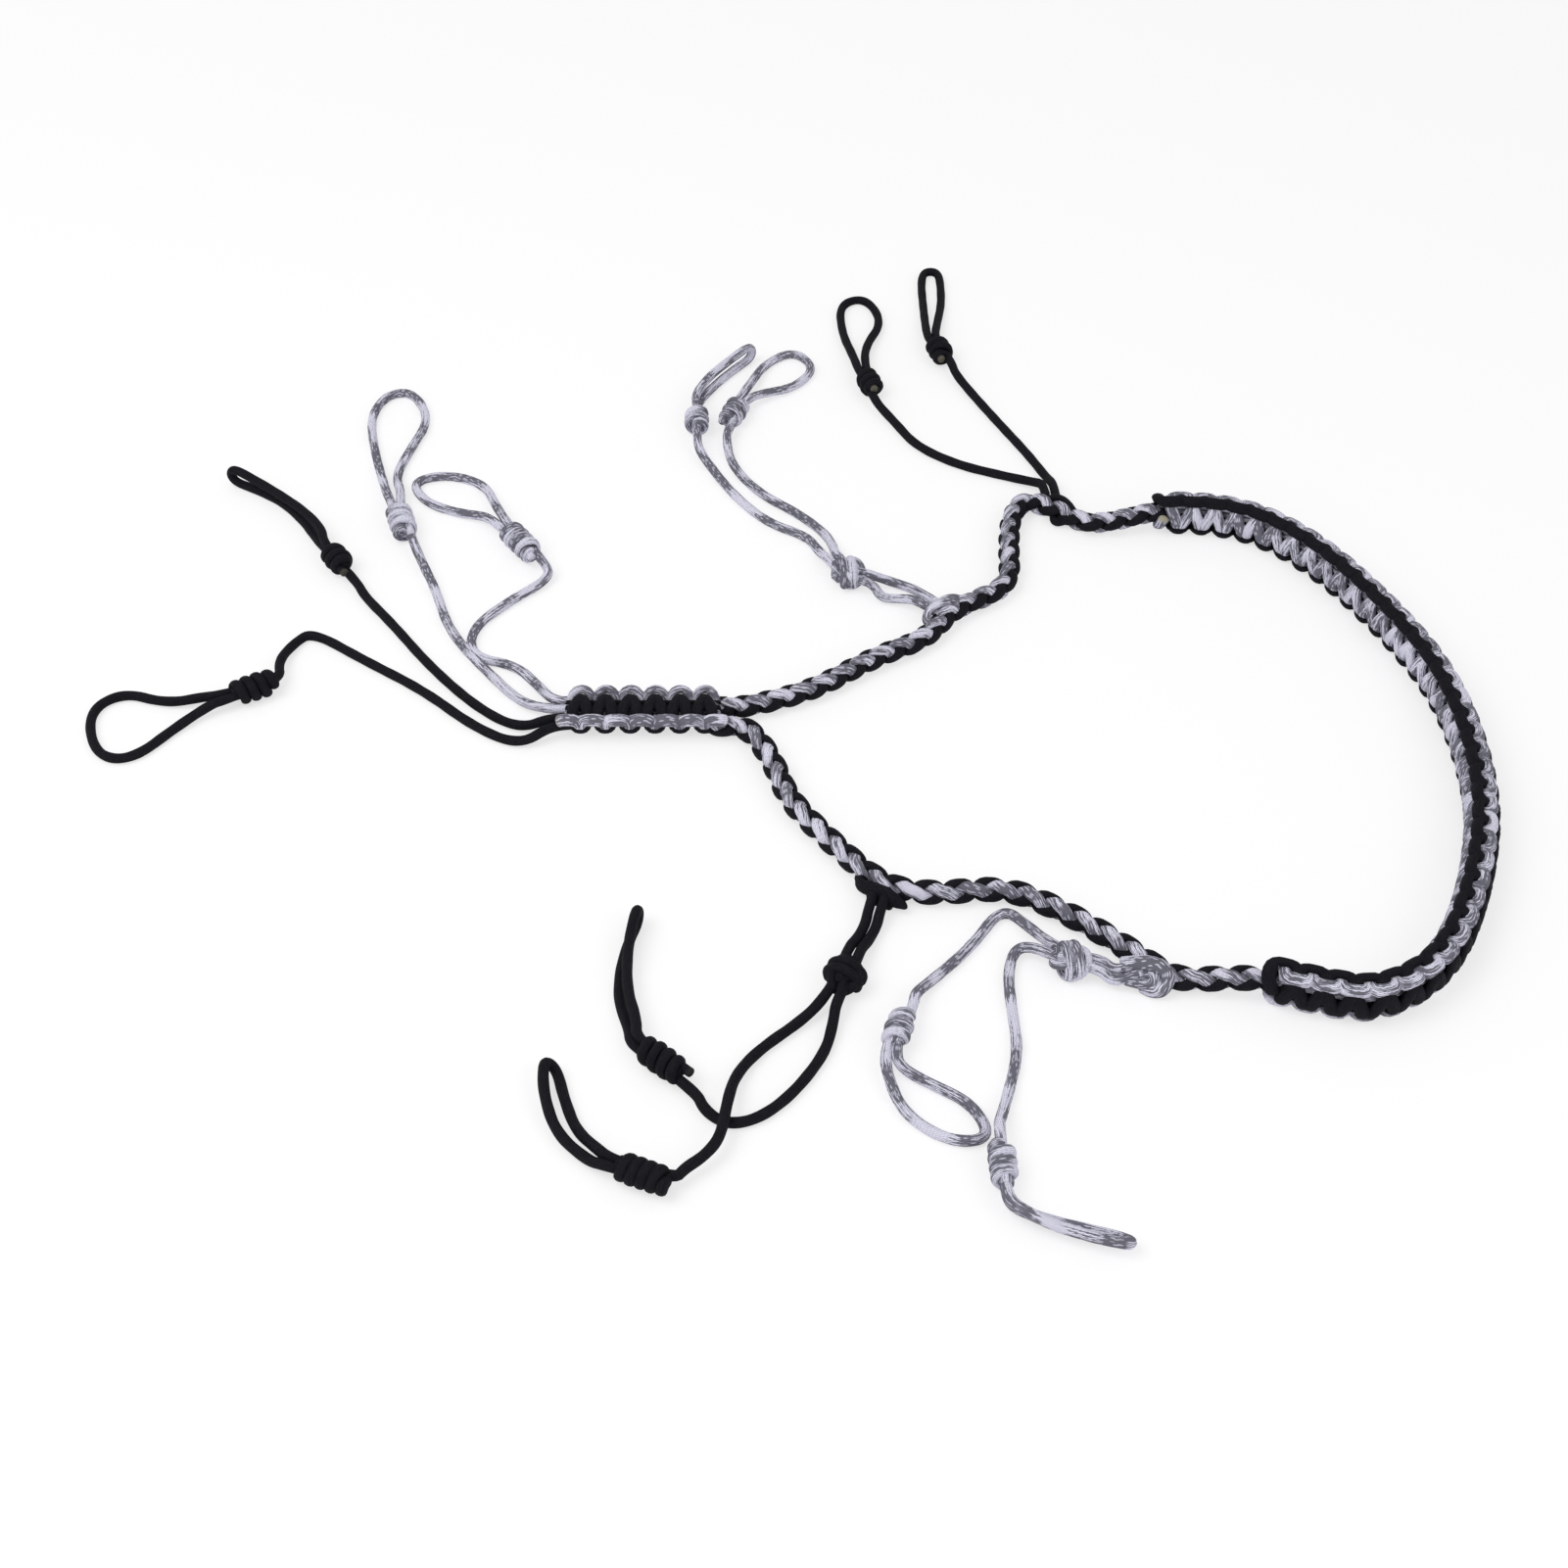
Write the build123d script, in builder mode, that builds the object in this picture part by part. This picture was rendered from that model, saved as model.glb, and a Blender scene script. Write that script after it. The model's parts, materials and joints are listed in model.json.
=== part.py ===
from build123d import *

import os
from math import cos, radians, sin, tan

# A call lanyard tied from 4 mm braided nylon cord in black and in grey camouflage, laid out flat.
# A square-knotted neck band and two four-strand round braids close into a loop at a square-knotted
# front bar. Twelve cord drops hang from it, four from the front bar and two from each of four
# hitches on the braids, and each drop ends in an adjustable noose that holds a call.
# Millimetres. +X runs from the front bar to the neck band and +Z is up from the surface that the
# lanyard lies on. The origin is on that surface, under the middle of the worn loop.

os.makedirs("parts", exist_ok=True)

# ---- driving dimensions ----------------------------------------------------------------------
CORD_D = 4.0            # braided cord
CORD_GAP = 0.3          # between two cords side by side, and between a cord and what it runs in
SEAT_GAP = 0.4          # between a cord's cut end and the knot that it comes out of
TURN_GAP = 0.8          # the same where the cord swings about that knot
BEND_SHARE = 0.45       # an arc takes this share of its shorter run

BRAID_D = 9.6           # four-strand round braid
BRAID_LEAD = 7.0        # its straight run out of the front bar and into the neck band

BAND_W = 19.5           # square-knotted band, across its two bead rows
BAND_T = 13.0           # the same, through its two faces
BAND_CORNER = 4.0
CORE_STRAND_W = 2.9     # a core cord squeezed inside the band
CORE_STRAND_T = 4.8
CORE_STRANDS = 4
CORE_GAP = 0.1

FRONT_LENGTH = 61.0     # front bar
FRONT_MOUTH_X = -181.0  # its end where the drops come out
FRONT_Y = 7.5
EXIT_PITCH = 4.4        # spacing of the four drops in that mouth

NOOSE_D = 11.2          # barrel knot of a noose, over its wraps
WRAP_PITCH = 5.0        # length of barrel taken by each wrap
WRAP_DEPTH = 0.7        # groove between two wraps
LOOP_LEAD = 3.5         # a loop's straight run out of it

HITCH_D = 17.0          # cow hitch round a braid
HITCH_H = 13.0
HITCH_EDGE = 3.5
OVERHAND_D = 15.6       # overhand knot in a doubled cord
OVERHAND_H = 13.0
OVERHAND_EDGE = 4.5
EXIT_Z = 6.0            # height at which a cord leaves a hitch or an overhand knot
PAIR = 2.2              # half the spacing of a pair of cords there
EXIT_RUN = 4.5          # a leg's straight run out of whatever carries it

LOW = CORD_D / 2        # centre height of a cord that lies on the surface
BRAID_Z = BRAID_D / 2
BAND_Z = BAND_W / 2     # the neck band stands on edge
FRONT_Z = BAND_T / 2    # the front bar lies flat
NOOSE_Z = NOOSE_D / 2
LANE = (CORD_D + CORD_GAP) / 2   # half the spacing of the two cords inside a noose

# ---- routes of the worn loop -----------------------------------------------------------------
UPPER_BRAID = [
    (-100, 16.2, BRAID_Z), (-81, 24, BRAID_Z), (-57, 43, BRAID_Z), (-34, 55, BRAID_Z),
    (-23, 74, BRAID_Z), (2, 87, BRAID_Z), (3, 112, BRAID_Z), (5, 134, BRAID_Z), (12, 147, BRAID_Z),
    (23, 142, BRAID_Z), (37, 130, BRAID_Z), (51, 130.3, 6.2),
]
LOWER_BRAID = [
    (-106, -2, BRAID_Z), (-98, -19, BRAID_Z), (-92, -40, BRAID_Z), (-76, -62, BRAID_Z),
    (-58, -84, BRAID_Z), (-40, -89, BRAID_Z), (-12, -85, BRAID_Z), (8, -96, BRAID_Z),
    (30, -114, BRAID_Z), (47, -131, BRAID_Z), (62, -131, 6.2),
]
NECK_BAND = [
    (73, 132.5), (100, 133), (131, 109), (157, 64), (174, 18), (176, -40),
    (164, -87), (144, -128), (118, -144.5), (99, -141.5), (83, -136),
]

# ---- side groups: a hitch on the braid, a tether, an overhand knot ---------------------------
# Angles are in plan, from +X towards +Y, and say which way a pair of cords leaves a hitch or a knot.
HITCHES = {
    "upper_grey": (-27, 70),
    "upper_black": (24, 143),
    "lower_black": (-57, -85),
    "lower_grey": (40, -125),
}
OVERHANDS = {
    "upper_grey": (-67, 96),
    "lower_black": (-72, -129),
    "lower_grey": (10, -122),
}
# Each tether: the way its pair leaves the hitch, the way it leaves the overhand knot, how far it runs
# straight at each end, and the points between for the cord on each side.
TETHERS = {
    "upper_grey": dict(
        hitch=135, knot=-24, lead=4.5,
        between={-1: [(-40, 89, 3), (-48, 93, 3)], 1: [(-46, 82, 3), (-53, 82.5, 3)]}),
    "lower_black": dict(
        hitch=254, knot=74, lead=4.5,
        between={-1: [(-66.5, -104.5, 3), (-71, -111, 3.5)], 1: [(-61, -106, 3), (-64.5, -112, 3.5)]}),
    "lower_grey": dict(
        hitch=198, knot=-12, lead=2.5,
        between={-1: [(24.6, -125, 4.5)], 1: [(24.3, -130.6, 4)]}),
}

# ---- drops -----------------------------------------------------------------------------------
# Each drop: what carries it and how it leaves that, the noose's barrel (plan centre, heading towards
# the loop, roll of its two cords from side by side, number of wraps), the side of the barrel that the
# leg runs in, how far the leg runs straight into it, the leg's own points and the loop's own points.
DROPS = {
    "front_black_open": dict(
        carrier="front", exit=-1.5, centre=(-309, 24), heading=208, roll=0, wraps=4,
        leg_side=1, lead=6,
        leg=[(-199, -6.5, LOW), (-218, 4, LOW), (-241, 26, LOW), (-267, 44, LOW), (-289, 62, LOW),
             (-299.5, 55, LOW), (-300, 43, 4.2)],
        loop=[(-325, 15, 4.5), (-337, 5, LOW), (-352, -15, LOW), (-367, -12, LOW), (-375, 13, LOW),
              (-363, 25, LOW), (-344, 18, LOW), (-328, 19.5, 4.5)]),
    "front_black_narrow": dict(
        carrier="front", exit=-0.5, centre=(-286, 105.5), heading=127, roll=90, wraps=3,
        leg_side=-1, lead=9,
        leg=[(-200, 3, LOW), (-218, 15.5, LOW), (-239.5, 40, LOW), (-259, 68, LOW),
             (-272, 84, 2.6)],
        loop=[(-298, 123, 2.6), (-305.5, 136, LOW), (-317, 149.5, LOW), (-331.5, 159, LOW),
              (-339.3, 163.1, LOW), (-341.6, 164.3, 5.8), (-339.3, 163.1, 9.6), (-332, 159, 8.4),
              (-318, 149.5, 6.4), (-304.5, 137, 6.4), (-295, 124, 7)]),
    "front_grey_tall": dict(
        carrier="front", exit=0.5, centre=(-261.5, 132), heading=108, roll=0, wraps=3,
        leg_side=-1, lead=9,
        leg=[(-200, 18, LOW), (-213.5, 34, LOW), (-233.5, 61, LOW), (-242, 88, LOW),
             (-249, 104, 3)],
        loop=[(-264, 152, 4.5), (-268.5, 168, LOW), (-264, 187, LOW), (-257.5, 210, LOW),
              (-267, 231, LOW), (-279, 230, LOW), (-285, 214, LOW), (-282, 194, LOW),
              (-276.5, 173, LOW), (-271, 154, 4.5)]),
    "front_grey_short": dict(
        carrier="front", exit=1.5, centre=(-207.5, 116), heading=126, roll=0, wraps=4,
        leg_side=-1, lead=8,
        leg=[(-193.5, 27, 2.6), (-215, 43.5, LOW), (-224, 63, LOW), (-209, 85, LOW),
             (-194.5, 94.5, 2.8)],
        loop=[(-221, 143, 4.2), (-228, 162, LOW), (-246, 169, LOW), (-261, 163, LOW),
              (-253, 148.5, LOW), (-238, 141, LOW), (-224, 136, 4.2)]),
    "upper_grey_narrow": dict(
        carrier="upper_grey", exit=(122, 1), centre=(-134, 204), heading=92, roll=90, wraps=3,
        leg_side=1, lead=4,
        leg=[(-78.5, 113, 2.8), (-84, 125, LOW), (-101, 134, LOW), (-116, 153, LOW),
             (-127, 174, LOW), (-133, 185, 4.4)],
        loop=[(-135, 223, 6.8), (-129.5, 237, 6.4), (-118.5, 251.5, 7), (-110.5, 258, 9.3),
              (-108.9, 259.3, 5.6), (-110.5, 258, LOW), (-116.5, 251, LOW), (-126.5, 237, LOW),
              (-133, 224, 2.8)]),
    "upper_grey_open": dict(
        carrier="upper_grey", exit=(122, -1), centre=(-116.5, 212), heading=68, roll=0, wraps=3,
        leg_side=-1, lead=6,
        leg=[(-72.5, 116, 3), (-76, 127, LOW), (-88, 141, LOW), (-105, 155, LOW),
             (-117, 174, LOW), (-120, 188, 3.6)],
        loop=[(-102.5, 228, 4), (-89, 235, LOW), (-79, 250, LOW), (-89, 265, LOW),
              (-103, 254, LOW), (-109.5, 236, 4)]),
    "upper_black_narrow": dict(
        carrier="upper_black", exit=(91, -1), centre=(-20, 260.5), heading=108, roll=0, wraps=3,
        leg_side=-1, lead=4,
        leg=[(24, 166, LOW), (16.5, 184, LOW), (4.5, 208, LOW), (-7, 232, LOW), (-13.5, 244, 4)],
        loop=[(-20, 285, 4), (-17, 304, LOW), (-16.6, 321, LOW), (-17.3, 331, LOW),
              (-21.1, 333.2, LOW), (-24.9, 331, LOW), (-26.2, 321, LOW), (-26, 304, LOW),
              (-25.8, 283, 4)]),
    "upper_black_open": dict(
        carrier="upper_black", exit=(91, 1), centre=(-54, 234), heading=107, roll=0, wraps=3,
        leg_side=1, lead=4,
        leg=[(17.5, 162, 3), (4, 168, LOW), (-16, 176, LOW), (-34, 190, LOW), (-43, 208, LOW),
             (-49.8, 217, 4.4)],
        loop=[(-61, 257, 4), (-66, 279, LOW), (-67, 304, LOW), (-54, 310, LOW), (-46, 289, LOW),
              (-55.5, 265, 4)]),
    "lower_black_far": dict(
        carrier="lower_black", exit=(245, -1), centre=(-141.5, -216), heading=157, roll=0, wraps=4,
        leg_side=-1, lead=5,
        leg=[(-87, -147, 2.6), (-103, -160.5, LOW), (-111, -173, 3.6), (-112.5, -185, 7),
             (-114.5, -199, 7), (-123, -208.5, 5.8)],
        loop=[(-156.5, -206, 5), (-165, -196, 2.4), (-170, -182, LOW), (-173, -170.5, LOW),
              (-175.8, -168.5, 4.9), (-177.8, -170.7, 7.4), (-176.8, -183, 5.4),
              (-171.5, -198, 3.4), (-160, -209, 3)]),
    "lower_black_near": dict(
        carrier="lower_black", exit=(245, 1), centre=(-136.5, -168), heading=139, roll=-45, wraps=4,
        leg_side=1, lead=7,
        leg=[(-76.5, -149, 3.2), (-79.5, -162, LOW), (-93, -182, LOW), (-110, -194.5, LOW),
             (-122, -188.5, 2.4)],
        loop=[(-149, -151.5, 2.6), (-153.5, -138, LOW), (-153.5, -123, LOW), (-150.7, -109, LOW),
              (-148.2, -100.7, LOW), (-147.5, -98.4, 5.8), (-148.2, -100.7, 9.6),
              (-149.8, -109, 8.4), (-151, -122, 6.2), (-150, -137, 6), (-146, -151, 6.6)]),
    "lower_grey_open": dict(
        carrier="lower_grey", exit=(142.5, -1), centre=(-53, -152.5), heading=251, roll=0, wraps=3,
        leg_side=1, lead=4,
        leg=[(-3, -104, 2.8), (-13, -92.5, LOW), (-25, -112, LOW), (-40, -128, LOW),
             (-47, -136.5, 4.6)],
        loop=[(-53.3, -169.5, 3.4), (-43, -175.5, LOW), (-29, -184, LOW), (-23, -199, LOW),
              (-37.5, -200.5, LOW), (-53, -188.5, LOW), (-58.5, -172, 4.2)]),
    "lower_grey_narrow": dict(
        carrier="lower_grey", exit=(142.5, 1), centre=(-20.5, -211.5), heading=272, roll=90, wraps=4,
        leg_side=1, lead=5,
        leg=[(-9.5, -113.5, 3), (-13, -125.5, LOW), (-12.5, -142, LOW), (-11.5, -162, LOW),
             (-17, -182, LOW), (-20, -193, 5)],
        loop=[(-17.5, -230, 7), (-6, -236.5, 5.6), (7, -241, 5.4), (17.5, -244.8, 6.7),
              (20.2, -242.3, 4.2), (17.5, -239.2, LOW), (7, -236, LOW), (-5.5, -232.5, LOW),
              (-15.5, -228.8, 2.4)]),
}


def turn(degrees):
    """Unit vector in plan at an angle from +X towards +Y."""
    return Vector(cos(radians(degrees)), sin(radians(degrees)), 0)


def bend_radii(points):
    """Arc radius at each inner point: a share of the shorter run over the tangent of half the turn."""
    places = [Vector(*point) for point in points]
    radii = []
    for before, here, after in zip(places, places[1:], places[2:]):
        run_in, run_out = here - before, after - here
        half_turn = radians(run_in.get_angle(run_out)) / 2
        radii.append(BEND_SHARE * min(run_in.length, run_out.length) / tan(half_turn))
    return radii


def route_of(points):
    """Straight runs between the points, joined by tangent arcs."""
    with BuildLine() as route:
        FilletPolyline(*points, radius=bend_radii(points))
    return route.wire()


def start_plane(path, across):
    """Plane square to the path at its start, with its local x along a given direction."""
    return Plane(origin=path @ 0, x_dir=across, z_dir=path % 0)


def cord(name, points, diameter=CORD_D):
    """Round cord along a route. Prints its tightest bend and how its volume meets its length."""
    path = route_of(points)
    with BuildPart() as tube:
        with BuildSketch(Plane(origin=path @ 0, z_dir=path % 0)):
            Circle(diameter / 2)
        sweep(path=path)
    section = Circle(diameter / 2, mode=Mode.PRIVATE).area
    share = tube.part.volume / (section * path.length)
    radii = " ".join(f"{radius:.1f}" for radius in bend_radii(points))
    print(f"{name}: length {path.length:.1f}, volume share {share:.4f}, radii {radii}")
    return tube.part


def save(part, name):
    part.label = name
    export_step(part, f"parts/{name}.step")


# ---- neck band -------------------------------------------------------------------------------
# The path runs from the upper braid's end to the lower one's, and the section's +x side is inside.
CORE_W = CORE_STRANDS * CORE_STRAND_W
neck_path = route_of([(x, y, BAND_Z) for x, y in NECK_BAND])
neck_start = start_plane(neck_path, (neck_path % 0).cross(Vector(0, 0, 1)))


def band_half(section, side):
    """Half of the knotted cover round the core: side 1 is the +x half of the section, -1 the other."""
    with BuildSketch(section) as half:
        RectangleRounded(BAND_T, BAND_W, BAND_CORNER)
        Rectangle(CORE_STRAND_T + 2 * CORE_GAP, CORE_W + 2 * CORE_GAP, mode=Mode.SUBTRACT)
        with Locations((side * BAND_T / 2, 0)):
            Rectangle(BAND_T, BAND_W, mode=Mode.INTERSECT)
    return half.sketch


with BuildPart() as neck_cover_grey:
    sweep(sections=band_half(neck_start, 1), path=neck_path)
save(neck_cover_grey.part, "neck_cover_grey")

with BuildPart() as neck_cover_black:
    sweep(sections=band_half(neck_start, -1), path=neck_path)
save(neck_cover_black.part, "neck_cover_black")


def strand_bars(section, first, path=None, length=None):
    """The two core strands as separate solids, swept along a path or extruded by a length."""
    bars = []
    for number in (first, first + 1):
        offset = (number - (CORE_STRANDS - 1) / 2) * CORE_STRAND_W
        with BuildPart() as bar:
            with BuildSketch(section):
                with Locations((0, offset)):
                    Rectangle(CORE_STRAND_T, CORE_STRAND_W)
            if path is None:
                extrude(amount=length)
            else:
                sweep(path=path)
        bars.append(bar.part.solid())
    return Compound(children=bars)


save(strand_bars(neck_start, 0, path=neck_path), "neck_core_black")
save(strand_bars(neck_start, 2, path=neck_path), "neck_core_grey")

# ---- front bar -------------------------------------------------------------------------------
front_section = Plane(origin=(FRONT_MOUTH_X, FRONT_Y, FRONT_Z), x_dir=(0, 0, 1), z_dir=(1, 0, 0))

with BuildPart() as front_cover_black:
    extrude(band_half(front_section, 1), amount=FRONT_LENGTH)
save(front_cover_black.part, "front_cover_black")

with BuildPart() as front_cover_grey:
    extrude(band_half(front_section, -1), amount=FRONT_LENGTH)
save(front_cover_grey.part, "front_cover_grey")

save(strand_bars(front_section, 2, length=FRONT_LENGTH), "front_core_black")
save(strand_bars(front_section, 0, length=FRONT_LENGTH), "front_core_grey")

# ---- braids ----------------------------------------------------------------------------------


def braid_quarter(path, number):
    """One strand of a four-strand braid: a quarter of its round section."""
    with BuildPart() as strand:
        with BuildSketch(start_plane(path, (path % 0).cross(Vector(0, 0, 1)))):
            Circle(BRAID_D / 2)
            Rectangle(
                BRAID_D, BRAID_D, rotation=45 + 90 * number, align=Align.MIN, mode=Mode.INTERSECT
            )
        sweep(path=path)
    return strand.part.solid()


def braid_route(y, points, neck_end, away):
    """From the front bar's end, straight out of it, along the points and straight into the band."""
    front_end = Vector(FRONT_MOUTH_X + FRONT_LENGTH, y, BRAID_Z)
    ends_in = [front_end, front_end + Vector(BRAID_LEAD, 0, 0)]
    ends_out = [neck_end + away * BRAID_LEAD, neck_end]
    return [tuple(end) for end in ends_in] + points + [tuple(end) for end in ends_out]


BRAID_ROUTES = {
    "upper": braid_route(
        FRONT_Y + (BRAID_D + CORD_GAP) / 2, UPPER_BRAID, neck_path @ 0, (neck_path % 0) * -1
    ),
    "lower": braid_route(
        FRONT_Y - (BRAID_D + CORD_GAP) / 2, LOWER_BRAID, neck_path @ 1, neck_path % 1
    ),
}

for place, points in BRAID_ROUTES.items():
    braid_path = route_of(points)
    quarters = [braid_quarter(braid_path, number) for number in range(4)]
    save(Compound(children=quarters[0::2]), f"{place}_braid_grey")
    save(Compound(children=quarters[1::2]), f"{place}_braid_black")

# ---- hitches and overhand knots --------------------------------------------------------------


def round_knot(x, y, diameter, height, edge):
    """A knot as an upright drum with rounded edges, standing on the surface."""
    with BuildPart() as knot:
        with BuildSketch(Plane((x, y, 0))):
            Circle(diameter / 2)
        extrude(amount=height)
        fillet(knot.edges().filter_by(GeomType.CIRCLE), radius=edge)
    return knot.part


for place, (x, y) in HITCHES.items():
    clearance = cord(f"{place} tunnel", BRAID_ROUTES[place.split("_")[0]], BRAID_D + 2 * CORD_GAP)
    with BuildPart() as hitch:
        add(round_knot(x, y, HITCH_D, HITCH_H, HITCH_EDGE))
        add(clearance, mode=Mode.SUBTRACT)
    save(hitch.part, f"{place}_hitch")

for place, (x, y) in OVERHANDS.items():
    save(round_knot(x, y, OVERHAND_D, OVERHAND_H, OVERHAND_EDGE), f"{place}_overhand_knot")


def exit_points(centre, distance, angle, side, lead):
    """Start of one cord of a pair that leaves a knot side by side, and the end of its straight run."""
    along = turn(angle)
    start = Vector(*centre, EXIT_Z) + along * distance + along.rotate(Axis.Z, 90) * side * PAIR
    return [tuple(start), tuple(start + along * lead)]


def hitch_exit(place, angle, side, lead):
    return exit_points(HITCHES[place], HITCH_D / 2 + TURN_GAP, angle, side, lead)


def knot_exit(place, angle, side, lead):
    return exit_points(OVERHANDS[place], OVERHAND_D / 2 + SEAT_GAP, angle, side, lead)


for place, tether in TETHERS.items():
    doubled = []
    for side in (-1, 1):
        points = hitch_exit(place, tether["hitch"], side, tether["lead"])
        points += tether["between"][side]
        points += reversed(knot_exit(place, tether["knot"], -side, tether["lead"]))
        doubled.append(cord(f"{place}_tether", points).solid())
    save(Compound(children=doubled), f"{place}_tether")

# ---- drops -----------------------------------------------------------------------------------


def noose_frame(drop):
    """Plane through the middle of the barrel: z along the barrel to the loop, x across its cords."""
    along = turn(drop["heading"])
    side = Vector(0, 0, 1).cross(along)
    across = side * cos(radians(drop["roll"])) + Vector(0, 0, 1) * sin(radians(drop["roll"]))
    return Plane(origin=(*drop["centre"], NOOSE_Z), x_dir=across, z_dir=along)


def noose_point(drop, side, along):
    """Point in one of the barrel's two cord lanes, at a distance along it from its middle."""
    return tuple(noose_frame(drop).from_local_coords((side * LANE, 0, along)))


def noose_length(drop):
    return drop["wraps"] * WRAP_PITCH


def noose(drop):
    """Barrel of wraps with a hole for the leg. The loop's other side ends at its front face."""
    frame = noose_frame(drop)
    half = noose_length(drop) / 2
    radius = NOOSE_D / 2
    with BuildPart() as barrel:
        with BuildSketch(Plane(origin=frame.origin, x_dir=frame.z_dir, z_dir=-frame.y_dir)):
            with BuildLine():
                Polyline((half, radius - WRAP_DEPTH), (half, 0), (-half, 0), (-half, radius - WRAP_DEPTH))
                for wrap in range(drop["wraps"]):
                    start = wrap * WRAP_PITCH - half
                    ThreePointArc(
                        (start, radius - WRAP_DEPTH),
                        (start + WRAP_PITCH / 2, radius),
                        (start + WRAP_PITCH, radius - WRAP_DEPTH),
                    )
            make_face()
        revolve(axis=Axis(frame.origin, frame.z_dir))
        with BuildSketch(frame.offset(-half)):
            with Locations((drop["leg_side"] * LANE, 0)):
                Circle(CORD_D / 2 + CORD_GAP)
        extrude(amount=2 * half, mode=Mode.SUBTRACT)
    return barrel.part


def drop_start(drop):
    """The leg's first points, at the front bar's mouth, its hitch or its overhand knot."""
    if drop["carrier"] == "front":
        start = Vector(FRONT_MOUTH_X - TURN_GAP, FRONT_Y + drop["exit"] * EXIT_PITCH, FRONT_Z)
        return [tuple(start), tuple(start - Vector(EXIT_RUN, 0, 0))]
    if drop["carrier"] in OVERHANDS:
        return knot_exit(drop["carrier"], *drop["exit"], EXIT_RUN)
    return hitch_exit(drop["carrier"], *drop["exit"], EXIT_RUN)


for name, drop in DROPS.items():
    half = noose_length(drop) / 2
    leg_lane, tail_lane = drop["leg_side"], -drop["leg_side"]
    leg_points = [
        *drop_start(drop),
        *drop["leg"],
        noose_point(drop, leg_lane, -half - drop["lead"]),
        noose_point(drop, leg_lane, half),
    ]
    loop_points = [
        noose_point(drop, leg_lane, half + SEAT_GAP),
        noose_point(drop, leg_lane, half + SEAT_GAP + LOOP_LEAD),
        *drop["loop"],
        noose_point(drop, tail_lane, half + SEAT_GAP + LOOP_LEAD),
        noose_point(drop, tail_lane, half + SEAT_GAP),
    ]
    save(cord(f"{name}_leg", leg_points), f"{name}_leg")
    save(cord(f"{name}_loop", loop_points), f"{name}_loop")
    save(noose(drop), f"{name}_noose")
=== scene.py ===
"""A call lanyard of braided nylon cord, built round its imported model.

A square-knotted neck band and two round braids close at a square-knotted front bar. Twelve drops of
cord leave the bar and the braids, and each ends in a loop that a sliding noose tightens.
"""

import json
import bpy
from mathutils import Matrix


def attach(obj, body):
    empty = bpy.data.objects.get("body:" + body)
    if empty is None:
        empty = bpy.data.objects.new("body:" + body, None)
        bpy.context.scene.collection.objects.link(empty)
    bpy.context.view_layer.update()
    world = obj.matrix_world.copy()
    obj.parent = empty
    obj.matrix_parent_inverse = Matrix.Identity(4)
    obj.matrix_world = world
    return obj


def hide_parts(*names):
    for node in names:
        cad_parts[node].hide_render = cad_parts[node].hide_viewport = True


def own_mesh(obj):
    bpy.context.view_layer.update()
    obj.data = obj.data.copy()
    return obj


bl_info = {
    "name": "Call Lanyard",
    "version": (1, 0, 0),
    "blender": (4, 5, 0),
    "location": "View3D > Sidebar > Lanyard",
    "description": "Builds a tied call lanyard round its packed model",
    "category": "Add Mesh",
}

from math import cos, pi, radians, sin, tau

import bpy
import numpy as np
from bpy.props import FloatProperty, FloatVectorProperty, IntProperty, PointerProperty
from bpy.types import Operator, Panel, PropertyGroup
from mathutils import Vector

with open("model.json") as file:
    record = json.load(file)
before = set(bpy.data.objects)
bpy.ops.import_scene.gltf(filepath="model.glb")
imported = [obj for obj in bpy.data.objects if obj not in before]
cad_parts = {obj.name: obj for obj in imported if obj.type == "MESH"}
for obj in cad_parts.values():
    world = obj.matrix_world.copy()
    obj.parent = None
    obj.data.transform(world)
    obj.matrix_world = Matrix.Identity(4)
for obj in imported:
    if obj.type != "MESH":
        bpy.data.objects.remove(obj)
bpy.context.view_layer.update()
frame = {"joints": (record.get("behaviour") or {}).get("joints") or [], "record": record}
BODY_OF = {
    node: body
    for body, nodes in frame["record"]["behaviour"]["bodies"].items()
    for node in nodes
}

MM = 0.001
UP = np.array((0.0, 0.0, 1.0))

# ---- the lanyard's routes, in millimetres ----------------------------------------------------

MOUTH_X = -181.0        # end of the front bar where four drops come out
FRONT_LENGTH = 61.0
FRONT_Y = 7.5
FRONT_Z = 6.5
EXIT_PITCH = 4.4        # between those four drops
MOUTH_BURIED = 2.5      # how far inside the bar they begin
MOUTH_REACH = 5.3       # and how far out of it they run straight
BRAID_Z = 4.8
BAND_Z = 9.75
NOOSE_Z = 5.6
LOW = 2.0               # height of a cord's middle on the floor, and of a point that gives none
LANE = 1.75             # a cord's distance from the middle of its noose
LOOP_BURIED = 1.5       # how far inside its noose a loop begins
LOOP_RUN = 3.9          # and how far out of it the loop runs straight
EXIT_Z = 6.0            # height at which a cord leaves a hitch or an overhand knot
PAIR = 2.2              # half the spacing of two cords there
EXIT_REACH = 13.7       # from a hitch's middle to the end of a cord's straight run out of it
KNOT_REACH = 12.7       # the same for an overhand knot
SHORT_REACHES = (11.8, 10.7)    # both for the tether that is too short to be a free cord
BURIED = 4.0            # how far from a knot's middle a cord begins inside it

NECK_BAND = [
    (73, 132.5), (100, 133), (131, 109), (157, 64), (174, 18), (176, -40),
    (164, -87), (144, -128), (118, -144.5), (99, -141.5), (83, -136),
]
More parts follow.
